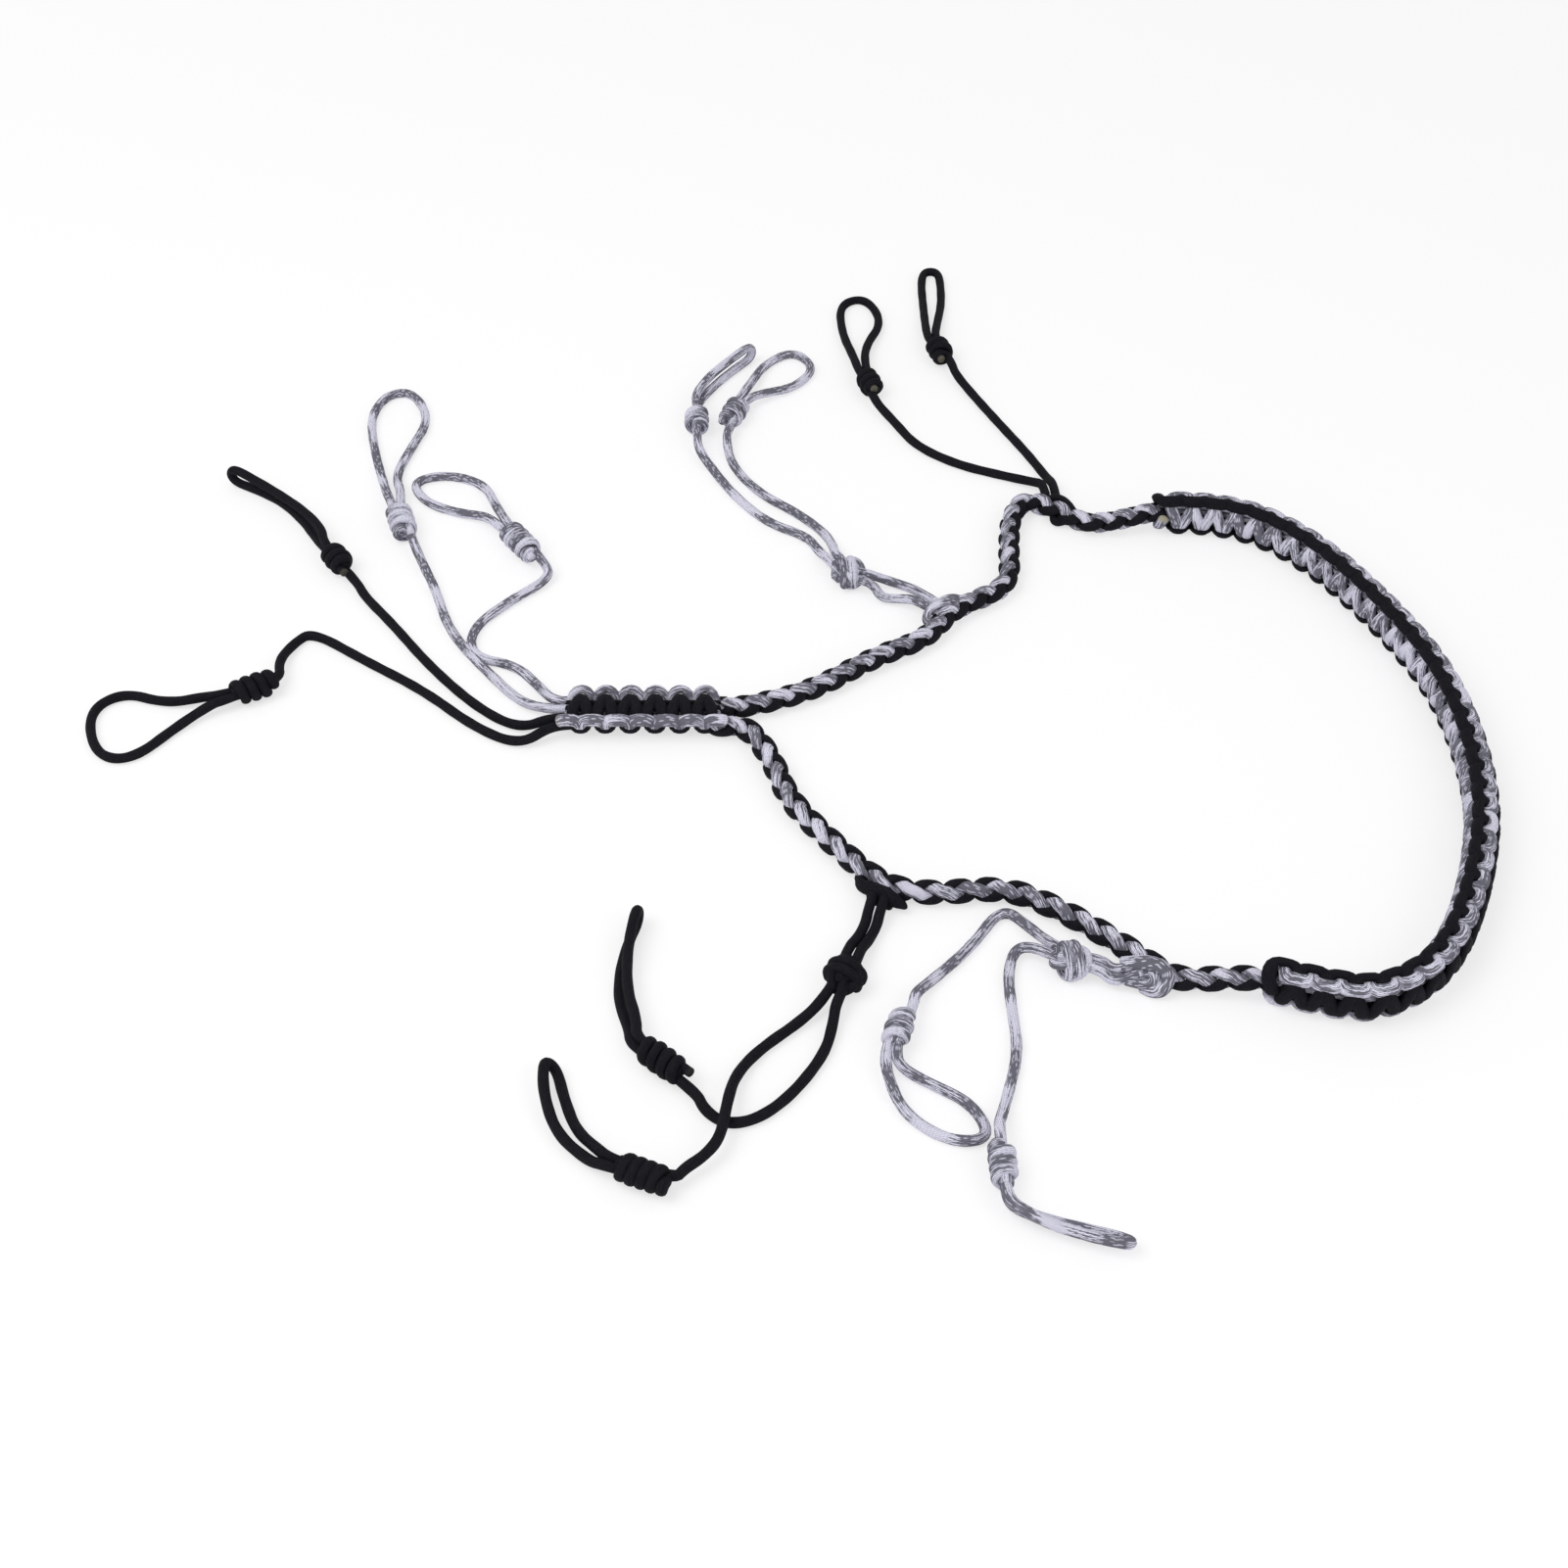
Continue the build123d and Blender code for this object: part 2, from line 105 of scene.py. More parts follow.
# A braid's point with no height of its own lies at BRAID_Z.
BRAIDS = {
    "upper": [
        (-124, 12.45), (-113, 12.45), (-100, 16.2), (-81, 24), (-57, 43), (-34, 55), (-23, 74),
        (2, 87), (3, 112), (5, 134), (12, 147), (23, 142), (37, 130), (51, 130.3, 6.2),
        (66, 132.4, BAND_Z), (76, 132.6, BAND_Z),
    ],
    "lower": [
        (-124, 2.55), (-113, 2.55), (-106, -2), (-98, -19), (-92, -40), (-76, -62), (-58, -84),
        (-40, -89), (-12, -85), (8, -96), (30, -114), (47, -131), (62, -131, 6.2),
        (76.3, -133.7, BAND_Z), (86, -137, BAND_Z),
    ],
}

# How the braids roll: shares of their length, and degrees from the grey strands on top.
ROLLS = {
    "upper": [(0, -15), (0.3, -12), (0.41, 5), (0.55, 22), (0.68, 24), (0.76, 18), (0.84, 4), (1, 0)],
    "lower": [(0, -20), (0.3, -28), (0.42, -45), (0.52, -40), (0.65, -20), (0.8, -20), (1, -25)],
}
BRAID_PITCHES = {"upper": 19.6, "lower": 23.0}

# Angles are in plan, from +X towards +Y. A hitch's braid runs at "along", and its cords leave at "out".
# Its strands, the first of them the bight that is drawn through the braid and over those cords, are
# given along the braid, out from it and up, from the hitch's middle on the floor.
HITCHES = {
    "upper_grey": dict(
        centre=(-27, 70), along=57, out=135,
        strands=[
            [(-8, -1, 4), (-9, 3.4, 5), (-5.4, 5, 7), (-2, 4, 8.4), (1.5, 2.4, 9.2), (5, 0.6, 9.2),
             (7.8, -1.6, 8), (9.6, -4.5, 5.4)],
        ]),
    "upper_black": dict(
        centre=(24, 143), along=-38, out=91,
        strands=[
            [(-3.5, 1, 5), (-1, 3.4, 6.6), (3, 4, 7.2), (7.5, 2.6, 6.8), (11, 0, 5.6), (12.5, -3, 4.5)],
            [(3.5, -1.5, 3), (4, -5.6, 2.6), (8, -6.4, 2.6), (9.5, -3, 3)],
        ]),
    "lower_black": dict(
        centre=(-57, -85), along=-33, out=254,
        strands=[
            [(-9, -1.5, 4), (-9.6, 2.4, 4.4), (-6, 4.8, 5.6), (-1.5, 4.8, 6.8), (3, 4.4, 7),
             (7, 4.2, 5.8), (9.8, 4, 4), (9.2, 1.5, 2.6), (5, 0.5, 3)],
            [(-3, -1.5, 3), (-4, 4.5, 3.2), (1, 6.4, 2.6), (6, 5, 2.4)],
        ]),
    "lower_grey": dict(
        centre=(40, -125), along=-44, out=198,
        strands=[
            [(-8.5, 2, 4), (-9.4, 6.6, 5), (-6.5, 7, 7.8), (-3, 4.6, 9.2), (1, 2, 9.6), (5, 1, 9),
             (8.2, 2.6, 6.4), (7.6, 6.4, 3.6), (5, 8.4, 2.6), (1.5, 8.6, 2.4)],
            [(-7, 9.2, 6), (-3.6, 5.6, 6.4), (0, 3.6, 6.8), (3.6, 3.8, 6.4), (4.4, 7.2, 5.4),
             (0.6, 10.2, 5), (-3.4, 11.8, 5)],
        ]),
}
# An overhand knot's cords enter and leave it at two angles. Its open lobe lies to the left (1) or to
# the right (-1) of the way between them, and the doubled cord crosses its top at the angle "band".
OVERHANDS = {
    "upper_grey": dict(centre=(-67, 96), enter=-24, leave=122, lobe=1, band=96),
    "lower_black": dict(centre=(-72, -129), enter=74, leave=245, lobe=-1, band=-28),
    "lower_grey": dict(centre=(10, -122), enter=-12, leave=142.5, lobe=-1, band=98),
}
# A tether's two cords, on the right (-1) and on the left (1) as they leave the hitch, with their points
# between the straight runs at the hitch and at the overhand knot.
TETHERS = {
    "upper_grey": {-1: [(-40, 89, 3), (-48, 93, 3)], 1: [(-46, 82, 3), (-53, 82.5, 3)]},
    "lower_black": {
        -1: [(-63.8, -101.8, 3), (-67.2, -109.8, 3.4)],
        1: [(-59.8, -103.2, 3), (-63.2, -111, 3.4)],
    },
    "lower_grey": {-1: [(24.6, -125, 4.5)], 1: [(24.3, -130.6, 4)]},
}

# Each drop: what carries it and how it leaves that, the noose's barrel (plan centre, heading towards
# the loop, roll of its two cords from side by side, half the length they run straight in it), the side
# that the leg runs in, how far it is straight before the barrel, and the leg's and loop's own points.
DROPS = {
    "front_black_open": dict(
        carrier="front", exit=-1.5, centre=(-309, 24), heading=208, roll=0, half=10.0,
        leg_side=1, lead=1,
        leg=[(-199, -6.5), (-218, 4), (-241, 26), (-267, 44), (-291, 62), (-297.5, 55),
             (-302, 41, 4.4)],
        loop=[(-325, 15, 4.5), (-337, 5), (-352, -15), (-367, -12), (-375, 13), (-363, 25),
              (-344, 18), (-328, 19.5, 4.5)]),
    "front_black_narrow": dict(
        carrier="front", exit=-0.5, centre=(-286, 105.5), heading=127, roll=90, half=7.5,
        leg_side=-1, lead=9,
        leg=[(-200, 3), (-218, 15.5), (-239.5, 40), (-259, 68), (-272, 84, 2.6)],
        loop=[(-298, 123, 2.6), (-305.5, 136), (-317, 149.5), (-331.5, 159), (-339.3, 163.1),
              (-341.6, 164.3, 5.8), (-339.3, 163.1, 9.6), (-332, 159, 8.4), (-318, 149.5, 6.4),
              (-304.5, 137, 6.4), (-295, 124, 7)]),
    "front_grey_tall": dict(
        carrier="front", exit=0.5, centre=(-261.5, 132), heading=108, roll=0, half=7.5,
        leg_side=-1, lead=9,
        leg=[(-200, 18), (-213.5, 34), (-233.5, 61), (-242, 88), (-249, 104, 3)],
        loop=[(-264, 152, 4.5), (-268.5, 168), (-264, 187), (-257.5, 210), (-267, 231), (-279, 230),
              (-285, 214), (-282, 194), (-276.5, 173), (-271, 154, 4.5)]),
    "front_grey_short": dict(
        carrier="front", exit=1.5, centre=(-207.5, 116), heading=126, roll=0, half=10.0,
        leg_side=-1, lead=8,
        leg=[(-193.5, 27, 2.6), (-204, 41), (-223, 46), (-225, 64), (-209, 83), (-194.5, 95, 2.8)],
        loop=[(-221, 143, 4.2), (-228, 162), (-246, 169), (-261, 163), (-253, 148.5), (-238, 141),
              (-224, 136, 4.2)]),
    "upper_grey_narrow": dict(
        carrier="upper_grey", exit=(122, 1), centre=(-134, 204), heading=92, roll=90, half=7.5,
        leg_side=1, lead=4,
        leg=[(-78.5, 113, 2.8), (-84, 125), (-101, 134), (-116, 153), (-127, 174),
             (-133, 185, 4.4)],
        loop=[(-135, 223, 6.8), (-129.5, 237, 6.4), (-118.5, 251.5, 7), (-110.5, 258, 9.3),
              (-108.9, 259.3, 5.6), (-110.5, 258), (-116.5, 251), (-126.5, 237), (-133, 224, 2.8)]),
    "upper_grey_open": dict(
        carrier="upper_grey", exit=(122, -1), centre=(-116.5, 212), heading=68, roll=0, half=7.5,
        leg_side=-1, lead=6,
        leg=[(-72.5, 116, 3), (-76, 127), (-88, 141), (-105, 155), (-117, 174), (-120, 188, 3.6)],
        loop=[(-102.5, 228, 4), (-89, 235), (-79, 250), (-89, 265), (-103, 254), (-109.5, 236, 4)]),
    "upper_black_narrow": dict(
        carrier="upper_black", exit=(91, -1), centre=(-20, 260.5), heading=108, roll=0, half=7.5,
        leg_side=-1, lead=4,
        leg=[(24, 166), (16.5, 184), (4.5, 208), (-7, 232), (-13.5, 244, 4)],
        loop=[(-20, 285, 4), (-17, 304), (-16.6, 321), (-17.3, 331), (-21.1, 333.2), (-24.9, 331),
              (-26.2, 321), (-26, 304), (-25.8, 283, 4)]),
    "upper_black_open": dict(
        carrier="upper_black", exit=(91, 1), centre=(-54, 234), heading=107, roll=0, half=7.5,
        leg_side=1, lead=4,
        leg=[(17.5, 162, 3), (4, 168), (-16, 176), (-34, 190), (-43, 208), (-49.8, 217, 4.4)],
        loop=[(-61, 257, 4), (-66, 279), (-67, 304), (-54, 310), (-46, 289), (-55.5, 265, 4)]),
    "lower_black_far": dict(
        carrier="lower_black", exit=(245, -1), centre=(-141.5, -216), heading=157, roll=0, half=10.0,
        leg_side=-1, lead=1,
        leg=[(-87, -147, 2.6), (-103, -160.5), (-111, -173, 3.6), (-113.5, -187, 7),
             (-115.4, -201.8, 6.8), (-120.9, -209.3, 6.2), (-127.3, -213.7, 5.4)],
        loop=[(-156.5, -206, 5), (-165, -196, 2.4), (-170, -182), (-173, -170.5),
              (-175.8, -168.5, 4.9), (-177.8, -170.7, 7.4), (-176.8, -183, 5.4),
              (-171.5, -198, 3.4), (-160, -209, 3)]),
    "lower_black_near": dict(
        carrier="lower_black", exit=(245, 1), centre=(-136.5, -168), heading=139, roll=-45, half=10.0,
        leg_side=1, lead=7,
        leg=[(-76.5, -149, 3.2), (-79.5, -162), (-91, -180), (-103, -190.8), (-114, -193),
             (-121.6, -187, 2.4)],
        loop=[(-149, -151.5, 2.6), (-153.5, -138), (-153.5, -123), (-150.7, -109), (-148.2, -100.7),
              (-147.5, -98.4, 5.8), (-148.2, -100.7, 9.6), (-149.8, -109, 8.4), (-151, -122, 6.2),
              (-150, -137, 6), (-146, -151, 6.6)]),
    "lower_grey_open": dict(
        carrier="lower_grey", exit=(142.5, -1), centre=(-53, -152.5), heading=251, roll=0, half=7.5,
        leg_side=1, lead=4,
        leg=[(-3, -104, 2.8), (-13, -92.5), (-25, -112), (-40, -128), (-47, -136.5, 4.6)],
        loop=[(-53.3, -169.5, 3.4), (-43, -175.5), (-29, -184), (-23, -199), (-37.5, -200.5),
              (-53, -188.5), (-58.5, -172, 4.2)]),
    "lower_grey_narrow": dict(
        carrier="lower_grey", exit=(142.5, 1), centre=(-20.5, -211.5), heading=272, roll=90, half=10.0,
        leg_side=1, lead=5,
        leg=[(-9.5, -113.5, 3), (-13, -125.5), (-12.5, -142), (-11.5, -162), (-17, -182),
             (-20, -193, 5)],
        loop=[(-17.5, -230, 7), (-6, -236.5, 5.6), (7, -241, 5.4), (17.5, -244.8, 6.7),
              (20.2, -242.3, 4.2), (17.5, -239.2), (7, -236), (-5.5, -232.5),
              (-15.5, -228.8, 2.4)]),
}

# The nooses' wraps: how many coils, how far they reach from the barrel's middle towards the loop and
# towards the leg in millimetres, and their girth. A cut end shows beside the leg of some: the angle it
# lies at round the barrel (0 to the side, 90 on top), how far it sticks out, and how melted it looks.
WRAPS = {
    "front_black_open": dict(coils=4, ends=(10, 10), girth=1.0),
    "front_black_narrow": dict(coils=3, ends=(7.5, 8), girth=1.0, cut_end=(0, 2.4, 0.15)),
    "front_grey_tall": dict(coils=4, ends=(10, 11), girth=1.06, cut_end=(150, 1.2, 0.1)),
    "front_grey_short": dict(coils=5, ends=(13, 10.5), girth=1.0, cut_end=(20, 1.8, 0.1)),
    "upper_grey_narrow": dict(coils=3, ends=(8.5, 6.8), girth=1.0),
    "upper_grey_open": dict(coils=3, ends=(7.5, 9), girth=1.0, cut_end=(10, 1.6, 0.1)),
    "upper_black_narrow": dict(coils=3, ends=(7.5, 7.5), girth=1.0, cut_end=(15, 1.0, 0.3)),
    "upper_black_open": dict(coils=3, ends=(7.5, 8), girth=0.95, cut_end=(75, 0.7, 0.3)),
    "lower_black_far": dict(coils=5, ends=(10.5, 11), girth=0.94),
    "lower_black_near": dict(coils=4, ends=(10, 10), girth=0.96, cut_end=(135, 2.0, 0.05)),
    "lower_grey_open": dict(coils=3, ends=(9, 6.8), girth=0.88),
    "lower_grey_narrow": dict(coils=4, ends=(9.4, 8.6), girth=0.84),
}

# The square knotting's cords, in millimetres, as pairs of numbers for a band's two edges: the top and
# the bottom of the neck band, the far and the near one of the front bar. Reach is from the band's
# middle to the beads, tuck how square they are, tilt how far their flat sides turn to the face, lag how
# far they run along the edge, and widths those of the cord in them. Bead is their height from the
# middle plane, and bar the cord's width where it crosses the face. A lean carries the cord forward as
# it crosses one way and back as it crosses the other.
NECK_BUILD = {
    "black": dict(reach=(7.8, 8.1), tuck=(0.11, 0.06), tilt=(1, 1), lag=(2.6, 1.25), widths=(5.0, 5.4),
                  bead=3.0, bar=5.4),
    "grey": dict(reach=(6.7, 7.0), tuck=(0.11, 0.11), tilt=(1, 1), lag=(2.4, 1.5),
                 widths=(5.0, 4.8), bead=2.8, bar=5.0),
}
FRONT_BUILD = {
    "black": dict(reach=(10.1, 6.9), tuck=(0.02, 0.06), tilt=(1, 1), lag=(2.3, 1.0), widths=(3.6, 4.6),
                  bead=2.4, bar=5.0, lean=0.38),
    "grey": dict(reach=(10.2, 8.0), tuck=(-0.09, 0.11), tilt=(0.2, 1), lag=(2.0, 2.4),
                 widths=(3.8, 5.2), bead=3.8, bar=4.4),
}


# ---- settings --------------------------------------------------------------------------------


def length_setting(name, description, default):
    return FloatProperty(name=name, description=description, default=default, unit="LENGTH")


def colour_setting(name, description, default):
    return FloatVectorProperty(name=name, description=description, default=default, subtype="COLOR")


class CordSettings(PropertyGroup):
    width: length_setting("Cord width", "Diameter of the braided cord", 0.004)
    ring: length_setting("Ring spacing", "Distance between two rings of a cord's mesh", 0.001)
    sides: IntProperty(name="Sides", description="Faces round a cord", default=16, min=8)
    squeezed: FloatProperty(
        name="Squeezed share", description="Width that a cord keeps inside its noose",
        default=0.86, subtype="FACTOR",
    )


class KnotSettings(PropertyGroup):
    bar_pitch: length_setting("Bar pitch", "Length of two bars of the square knotting", 0.010)
    bar_height: length_setting("Bar height", "From a band's middle to the bars on its face", 0.0049)
    wrap_radius: length_setting("Wrap radius", "From a noose's middle to that of its wraps", 0.0041)


class ColourSettings(PropertyGroup):
    black: colour_setting("Black", "Black cord", (0.0075, 0.0073, 0.0108))
    pale: colour_setting("Pale patches", "Light patches of the camouflage cord", (0.80, 0.79, 0.93))
    grey: colour_setting("Grey patches", "Its dark patches", (0.15, 0.15, 0.185))
    gap: colour_setting("Between threads", "Shadow between its threads", (0.075, 0.073, 0.10))
    melted: colour_setting("Melted end", "Melted tip of a cut cord", (0.36, 0.33, 0.25))


class StudioSettings(PropertyGroup):
    sky: FloatProperty(name="Sky", description="Soft light from all round", default=0.62, min=0)
    key: FloatProperty(
        name="Key lamp", description="Power of the large lamp", default=7.5, unit="POWER"
    )
    glow: FloatProperty(
        name="Floor glow", description="Share of the floor that shows white whatever its light",
        default=0.62, subtype="FACTOR",
    )
    lens: FloatProperty(name="Lens", description="Focal length in millimetres", default=54.87)


class LanyardSettings(PropertyGroup):
    cord: PointerProperty(type=CordSettings)
    knots: PointerProperty(type=KnotSettings)
    colours: PointerProperty(type=ColourSettings)
    studio: PointerProperty(type=StudioSettings)


# ---- lines and the frames carried along them -------------------------------------------------


def unit(vectors):
    """The vectors divided by their lengths."""
    return vectors / np.linalg.norm(vectors, axis=-1, keepdims=True)


def turn(degrees):
    """Unit vector in plan at an angle from +X towards +Y."""
    return np.array((cos(radians(degrees)), sin(radians(degrees)), 0.0))


def smooth_line(points):
    """Points along the NURBS spline of order 3 whose control points are given in millimetres. A
    point without a height lies on the floor."""
    curve = bpy.data.curves.new("line", "CURVE")
    curve.dimensions = "3D"
    curve.resolution_u = 24
    spline = curve.splines.new("NURBS")
    spline.points.add(len(points) - 1)
    places = np.array([(*point, LOW)[:3] for point in points]) * MM
    spline.points.foreach_set("co", np.c_[places, np.ones(len(places))].ravel())
    spline.order_u = 3
    spline.use_endpoint_u = True
    carrier = bpy.data.objects.new("line", curve)
    mesh = bpy.data.meshes.new_from_object(carrier)
    line = np.empty(len(mesh.vertices) * 3)
    mesh.vertices.foreach_get("co", line)
    bpy.data.objects.remove(carrier)
    bpy.data.curves.remove(curve)
    bpy.data.meshes.remove(mesh)
    return line.reshape(-1, 3)


def distances(line):
    """Length along the line to each of its points."""
    return np.concatenate(([0.0], np.cumsum(np.linalg.norm(np.diff(line, axis=0), axis=1))))


def sampled(values, at, where):
    """Rows of values, known at the lengths "at", read off at other lengths."""
    return np.stack([np.interp(where, at, column) for column in np.transpose(values)], axis=1)


def even_line(points, step):
    """The smooth line through a route's control points, with its points an even step apart."""
    line = smooth_line(points)
    along = distances(line)
    return sampled(line, along, np.linspace(0, along[-1], max(3, round(along[-1] / step) + 1)))


def tangents(line):
    """Unit vectors along the line at each of its points."""
    return unit(np.gradient(line, axis=0))


def leaned_frame(line, up):
    """Side and up vectors square to the line, with up as near as it can be to the one given, which
    is one vector or one for each point."""
    tangent = tangents(line)
    up = unit(up - np.sum(up * tangent, axis=1, keepdims=True) * tangent)
    return np.cross(up, tangent), up


def carried_frame(line, first_up=UP):
    """Side and up vectors that turn no more than the line does: each up vector is the one before,
    mirrored across the step between two points and again across the change of tangent."""
    tangent = tangents(line)
    up = np.empty_like(line)
    up[0] = unit(first_up - first_up @ tangent[0] * tangent[0])
    for ring in range(1, len(line)):
        step = line[ring] - line[ring - 1]
        mirrored_up = up[ring - 1] - 2 * (step @ up[ring - 1]) / (step @ step) * step
        mirrored = tangent[ring - 1] - 2 * (step @ tangent[ring - 1]) / (step @ step) * step
        change = tangent[ring] - mirrored
        up[ring] = mirrored_up - 2 * (change @ mirrored_up) / (change @ change) * change
    return np.cross(up, tangent), up


# ---- meshes ----------------------------------------------------------------------------------

CORD_ROUND = 4 * MM * pi      # a cord's circumference, the unit of its UV map both ways
CAP_ANGLES = pi / 2 * np.array((1 / 3, 2 / 3))
MELT_FADE = 1.2 * MM          # how far melting shows from a cord's end
TUBE_SHIFT = 7.3              # circumferences, by which a shell's next cord starts on in the map


class Shell:
    """Closed tubes gathered into one mesh, with a UV map that runs round and along each cord."""

    def __init__(self):
        self.points, self.corners, self.sizes, self.uvs, self.melts = [], [], [], [], []
        self.count = 0
        self.start = 0.0

    def tube(self, line, frames, half_width, half_depth, sides, cap=0.8, melted=(0, 0)):
        """Rings carried along a line: centre + half width * cos * side + half depth * sin * up.
        Beyond each end two more rings and a point follow a quarter ellipse, so that it is closed."""
        side, up = frames
        count = len(line)
        tangent = np.cross(side, up)
        half_width = np.broadcast_to(half_width, count)
        half_depth = np.broadcast_to(half_depth, count)
        ends = [(0, -1, CAP_ANGLES[::-1]), (count - 1, 1, CAP_ANGLES)]
        reach = [cap * half_depth[end] for end, _, _ in ends]
        rings = np.r_[np.zeros(2, int), np.arange(count), np.full(2, count - 1)]
        shrink = np.r_[np.cos(ends[0][2]), np.ones(count), np.cos(ends[1][2])]
        push = np.r_[-reach[0] * np.sin(ends[0][2]), np.zeros(count), reach[1] * np.sin(ends[1][2])]
        centre = line[rings] + push[:, None] * tangent[rings]
        around = tau * np.arange(sides) / sides - pi / 2
        wide = (shrink * half_width[rings])[:, None] * np.cos(around)
        deep = (shrink * half_depth[rings])[:, None] * np.sin(around)
        grid = centre[:, None] + wide[..., None] * side[rings, None] + deep[..., None] * up[rings, None]
        poles = [
            line[end] + sign * reach[index] * tangent[end]
            for index, (end, sign, _) in enumerate(ends)
        ]

        total = len(rings)
        run = distances(line)[rings] + push
        along = run / CORD_ROUND + self.start
        ring, step = np.meshgrid(np.arange(total - 1), np.arange(sides), indexing="ij")
        near, far = ring * sides, (ring + 1) * sides
        after = (step + 1) % sides
        quads = np.stack([near + step, near + after, far + after, far + step], axis=-1)
        u = np.stack([step, step + 1, step + 1, step], axis=-1) / sides
        v = np.stack([along[ring], along[ring], along[ring + 1], along[ring + 1]], axis=-1)
        steps = np.arange(sides)
        following = (steps + 1) % sides
        last = (total - 1) * sides
        first_fan = np.stack([np.full(sides, total * sides), following, steps], axis=-1)
        last_fan = np.stack([np.full(sides, total * sides + 1), last + steps, last + following], axis=-1)
        fan_u = np.stack([steps + 0.5, steps + 1, steps], axis=-1) / sides
        fan_v = reach[0] / CORD_ROUND / 3
        self.points += [grid.reshape(-1, 3), np.array(poles)]
        self.corners += [quads.reshape(-1) + self.count, first_fan.reshape(-1) + self.count,
                         last_fan.reshape(-1) + self.count]
        self.sizes += [np.full(quads.shape[0] * sides, 4), np.full(2 * sides, 3)]
        first_v = np.tile((along[0] - fan_v, along[0], along[0]), (sides, 1))
        last_v = np.tile((along[-1] + fan_v, along[-1], along[-1]), (sides, 1))
        last_u = fan_u[:, (0, 2, 1)]
        self.uvs += [np.stack([u, v], axis=-1).reshape(-1, 2),
                     np.stack([fan_u, first_v], axis=-1).reshape(-1, 2),
                     np.stack([last_u, last_v], axis=-1).reshape(-1, 2)]
        melt = (melted[0] * np.clip(1 - run / MELT_FADE, 0, 1)
                + melted[1] * np.clip(1 - (distances(line)[-1] - run) / MELT_FADE, 0, 1))
        self.melts += [np.repeat(melt, sides), np.array(melted, float)]
        self.count += total * sides + 2
        self.start += TUBE_SHIFT

    def piece(self, name, slot, nodes):
        """The mesh as an object that rides with its CAD nodes and stands for them."""
        points, corners = np.concatenate(self.points), np.concatenate(self.corners)
        sizes = np.concatenate(self.sizes)
        mesh = bpy.data.meshes.new(name)
        mesh.vertices.add(len(points))
        mesh.vertices.foreach_set("co", points.ravel())
        mesh.loops.add(len(corners))
        mesh.loops.foreach_set("vertex_index", corners.astype(np.int32))
        mesh.polygons.add(len(sizes))
        mesh.polygons.foreach_set("loop_start", np.r_[0, np.cumsum(sizes)[:-1]].astype(np.int32))
        mesh.update(calc_edges=True)
        mesh.uv_layers.new(name="cord").data.foreach_set("uv", np.concatenate(self.uvs).ravel())
        mesh.attributes.new("melt", "FLOAT", "POINT").data.foreach_set(
            "value", np.concatenate(self.melts)
        )
        mesh.shade_smooth()
        if mesh.validate():
            raise RuntimeError(f"{name}: its mesh had faults")
        mesh.materials.append(bpy.data.materials[FINISHES[slot]])
        obj = bpy.data.objects.new(name, mesh)
        bpy.context.scene.collection.objects.link(obj)
        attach(obj, BODY_OF[nodes[0]])
        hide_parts(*nodes)
        return obj


FINISHES = {"black_cord": "black nylon", "camouflage_cord": "camouflage nylon"}


def slot_of(name):
    """The material slot of a piece, from the colour in its name."""
    return "black_cord" if "black" in name else "camouflage_cord"


# ---- materials -------------------------------------------------------------------------------


class Shade:
    """A socket of a material. Arithmetic on it adds Math nodes."""

    def __init__(self, socket):
        self.socket = socket

    def node(self, kind, settings=None, inputs=None, output=0):
        """A new node of a type, with its settings and then its inputs given or linked."""
        return add_node(self.socket.id_data, kind, settings, inputs, output)

    def maths(self, operation, *values):
        return self.node("ShaderNodeMath", {"operation": operation}, dict(enumerate(values)))

    def __add__(self, other):
        return self.maths("ADD", self, other)

    def __sub__(self, other):
        return self.maths("SUBTRACT", self, other)

    def __rsub__(self, other):
        return self.maths("SUBTRACT", other, self)

    def __mul__(self, other):
        return self.maths("MULTIPLY", self, other)

    __radd__, __rmul__ = __add__, __mul__

    def whole(self):
        return self.maths("FLOOR", self)

    def part(self):
        return self.maths("FRACT", self)

    def bulge(self):
        """1 in the middle of each unit and 0 at its ends: the sine of pi times its fraction."""
        return self.maths("SINE", self.part() * pi)

    def smooth(self, low, high):
        """0 below low, 1 above high, and an even curve between."""
        return self.node(
            "ShaderNodeMapRange", {"interpolation_type": "SMOOTHSTEP"},
            {"Value": self, "From Min": low, "From Max": high},
        )

    def between(self, low, high):
        """Number that goes from low to high as this one goes from 0 to 1."""
        return self.node("ShaderNodeMix", {"data_type": "FLOAT"}, {0: self, 2: low, 3: high})

    def colours(self, low, high):
        """Colour that goes from low to high as this number goes from 0 to 1."""
        return self.node(
            "ShaderNodeMix", {"data_type": "RGBA"}, {0: self, 6: low, 7: high}, "Result_Color"
        )


def add_node(tree, kind, settings=None, inputs=None, output=0):
    """A new node in a tree: its settings first, then each input's value or link."""
    made = tree.nodes.new(kind)
    for name, value in (settings or {}).items():
        setattr(made, name, value)
    for name, value in (inputs or {}).items():
        if isinstance(value, Shade):
            tree.links.new(value.socket, made.inputs[name])
        elif hasattr(made.inputs[name].default_value, "__len__") and len(value) == 3 \
                and len(made.inputs[name].default_value) == 4:
            made.inputs[name].default_value = (*value, 1)
        else:
            made.inputs[name].default_value = value
    if output == "Result_Color":
        return Shade(next(s for s in made.outputs if s.type == "RGBA"))
    return Shade(made.outputs[output])


THREADS_ROUND = 20       # threads each way round a cord
THREADS_ALONG = 5.2      # their crossings along one circumference
WEAVE_DEPTH = 0.25 * MM  # of the bumps that the threads make
STREAKS = (22, 0.9)      # scales of the dye's noise round and along a cord, in thin streaks
PATCHES = (1.6, 0.75)    # and in broad patches
DYE_EDGE = (0.5, 0.545)  # between these values of the noise the grey turns pale


